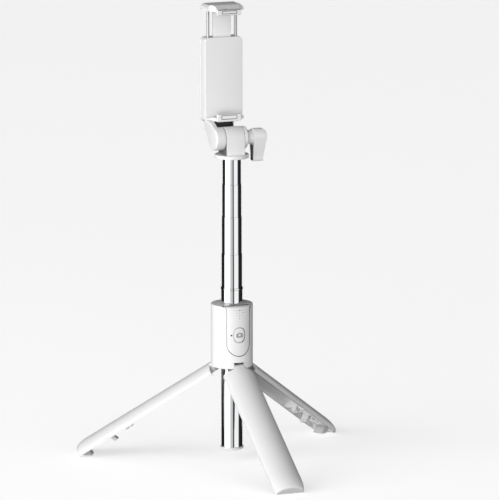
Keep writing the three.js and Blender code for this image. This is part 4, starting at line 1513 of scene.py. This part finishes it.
# %% Upper jaw and guide rods
def sliding_jaw():
    """Hood, lip and slider, less the panel's groove, the slit and the sockets for the rods."""
    low, high = box("upper_jaw")
    pad_high = box("jaw_pad_upper")[1][2]
    roof_low, top = pad_high + 0.1, high[2]
    hood = skin("clamp_sliding_jaw", slab(jaw_plan(lip_front + 0.05, high[1]), roof_low, top))
    front = upright("front", rectangle((-body_half, body_half), (roof_low - 6, top), 4.0, 12), 0, 30)
    brow = rounded([(lip_front, roof_low - 5), (high[1], roof_low - 5), (high[1], top),
                    (lip_front + 6.5, top), (lip_front, top - 2.6)], [0.1, 0.1, 1.0, 7.0, 1.3], 10)
    side = skin("side", laid(slab(brow, -20, 20), "x"))
    hood = common(hood, front, side)
    lip_low = pad_high - 2.1
    lip = upright("lip", rectangle((-lip_half, lip_half), (lip_low, top - 2.9), 0.5), lip_front,
                  grip_front, 0.3)
    plate = skin("plate", brick((-slider_half, slider_half), (slider_front, slider_back),
                                (low[2], top - 1), 0.3, 0.25))
    panel = panel_groove((-5.4, 5.6), (top - 5.6, top - 3.3), 0.5)
    half_turn = np.linspace(0, np.pi, 20)
    lens = np.concatenate([
        np.stack([-3.4 * np.cos(half_turn), top - 2.1 + 0.45 * np.sin(half_turn)], axis=1),
        np.stack([3.4 * np.cos(half_turn), top - 2.1 - 0.3 * np.sin(half_turn)], axis=1)[1:-1]])
    slit = upright("slit", lens, lip_front - 2, lip_front + 3.5)
    sockets = guide_bores("socket", roof_low - 1, top - 1.4)
    return cut(join(hood, lip, plate), panel, slit, *sockets)


sliding = complete(sliding_jaw(), "jaw", white_gloss, ["upper_jaw"], edge=0.14)
# The groove round the upper lip's panel gets the same painted shade.
shade_within(sliding, seam_painted_shade, in_groove)


def guide_rod(node, x):
    """A bright rod with broken edges and a clip groove at its lower end."""
    low, high = box(node)
    place = (x, guide_depth, 0)
    rod = skin(f"{node}_turned", bar(guide_radius, low[2], high[2], 0.2, 0.2, 64) + place)
    sleeve = skin("sleeve", bar(guide_radius + 1, low[2] + 1.5, low[2] + 2.1, 0.05, 0.05) + place)
    core = skin("core", bar(guide_radius - 0.3, low[2] + 1, low[2] + 3, 0.05, 0.05) + place)
    return complete(cut(rod, cut(sleeve, core)), "jaw", steel, [node])


guide_rod("guide_rod_left", -guide_side)
guide_rod("guide_rod_right", guide_side)

# %% [markdown]
# ## Pieces that keep their working shape
#
# Springs, bushings, the swivel post, the bolt and what is inside the remote are hidden or already
# have their real shape in the working model. They stay as they are and only get a material.

# %% Materials for the rest
kept = {
    grey_nylon: ["leg_bracket"],
    nylon: [f"tube_bushing_{number}" for number in range(1, 5)],
    steel: ["swivel_post", "swivel_clip", "clamp_spring_left", "clamp_spring_right", "coin_cell"],
    bolt_steel: ["tilt_bolt"],
    brass: ["tilt_nut"],
    circuit_green: ["remote_board"],
    black_plastic: ["remote_switch"],
}
for material, names in kept.items():
    for name in names:
        for place in frame["nodes"][name].material_slots:
            place.material = material
print(sum(len(names) for names in kept.values()), "pieces keep their working shape")
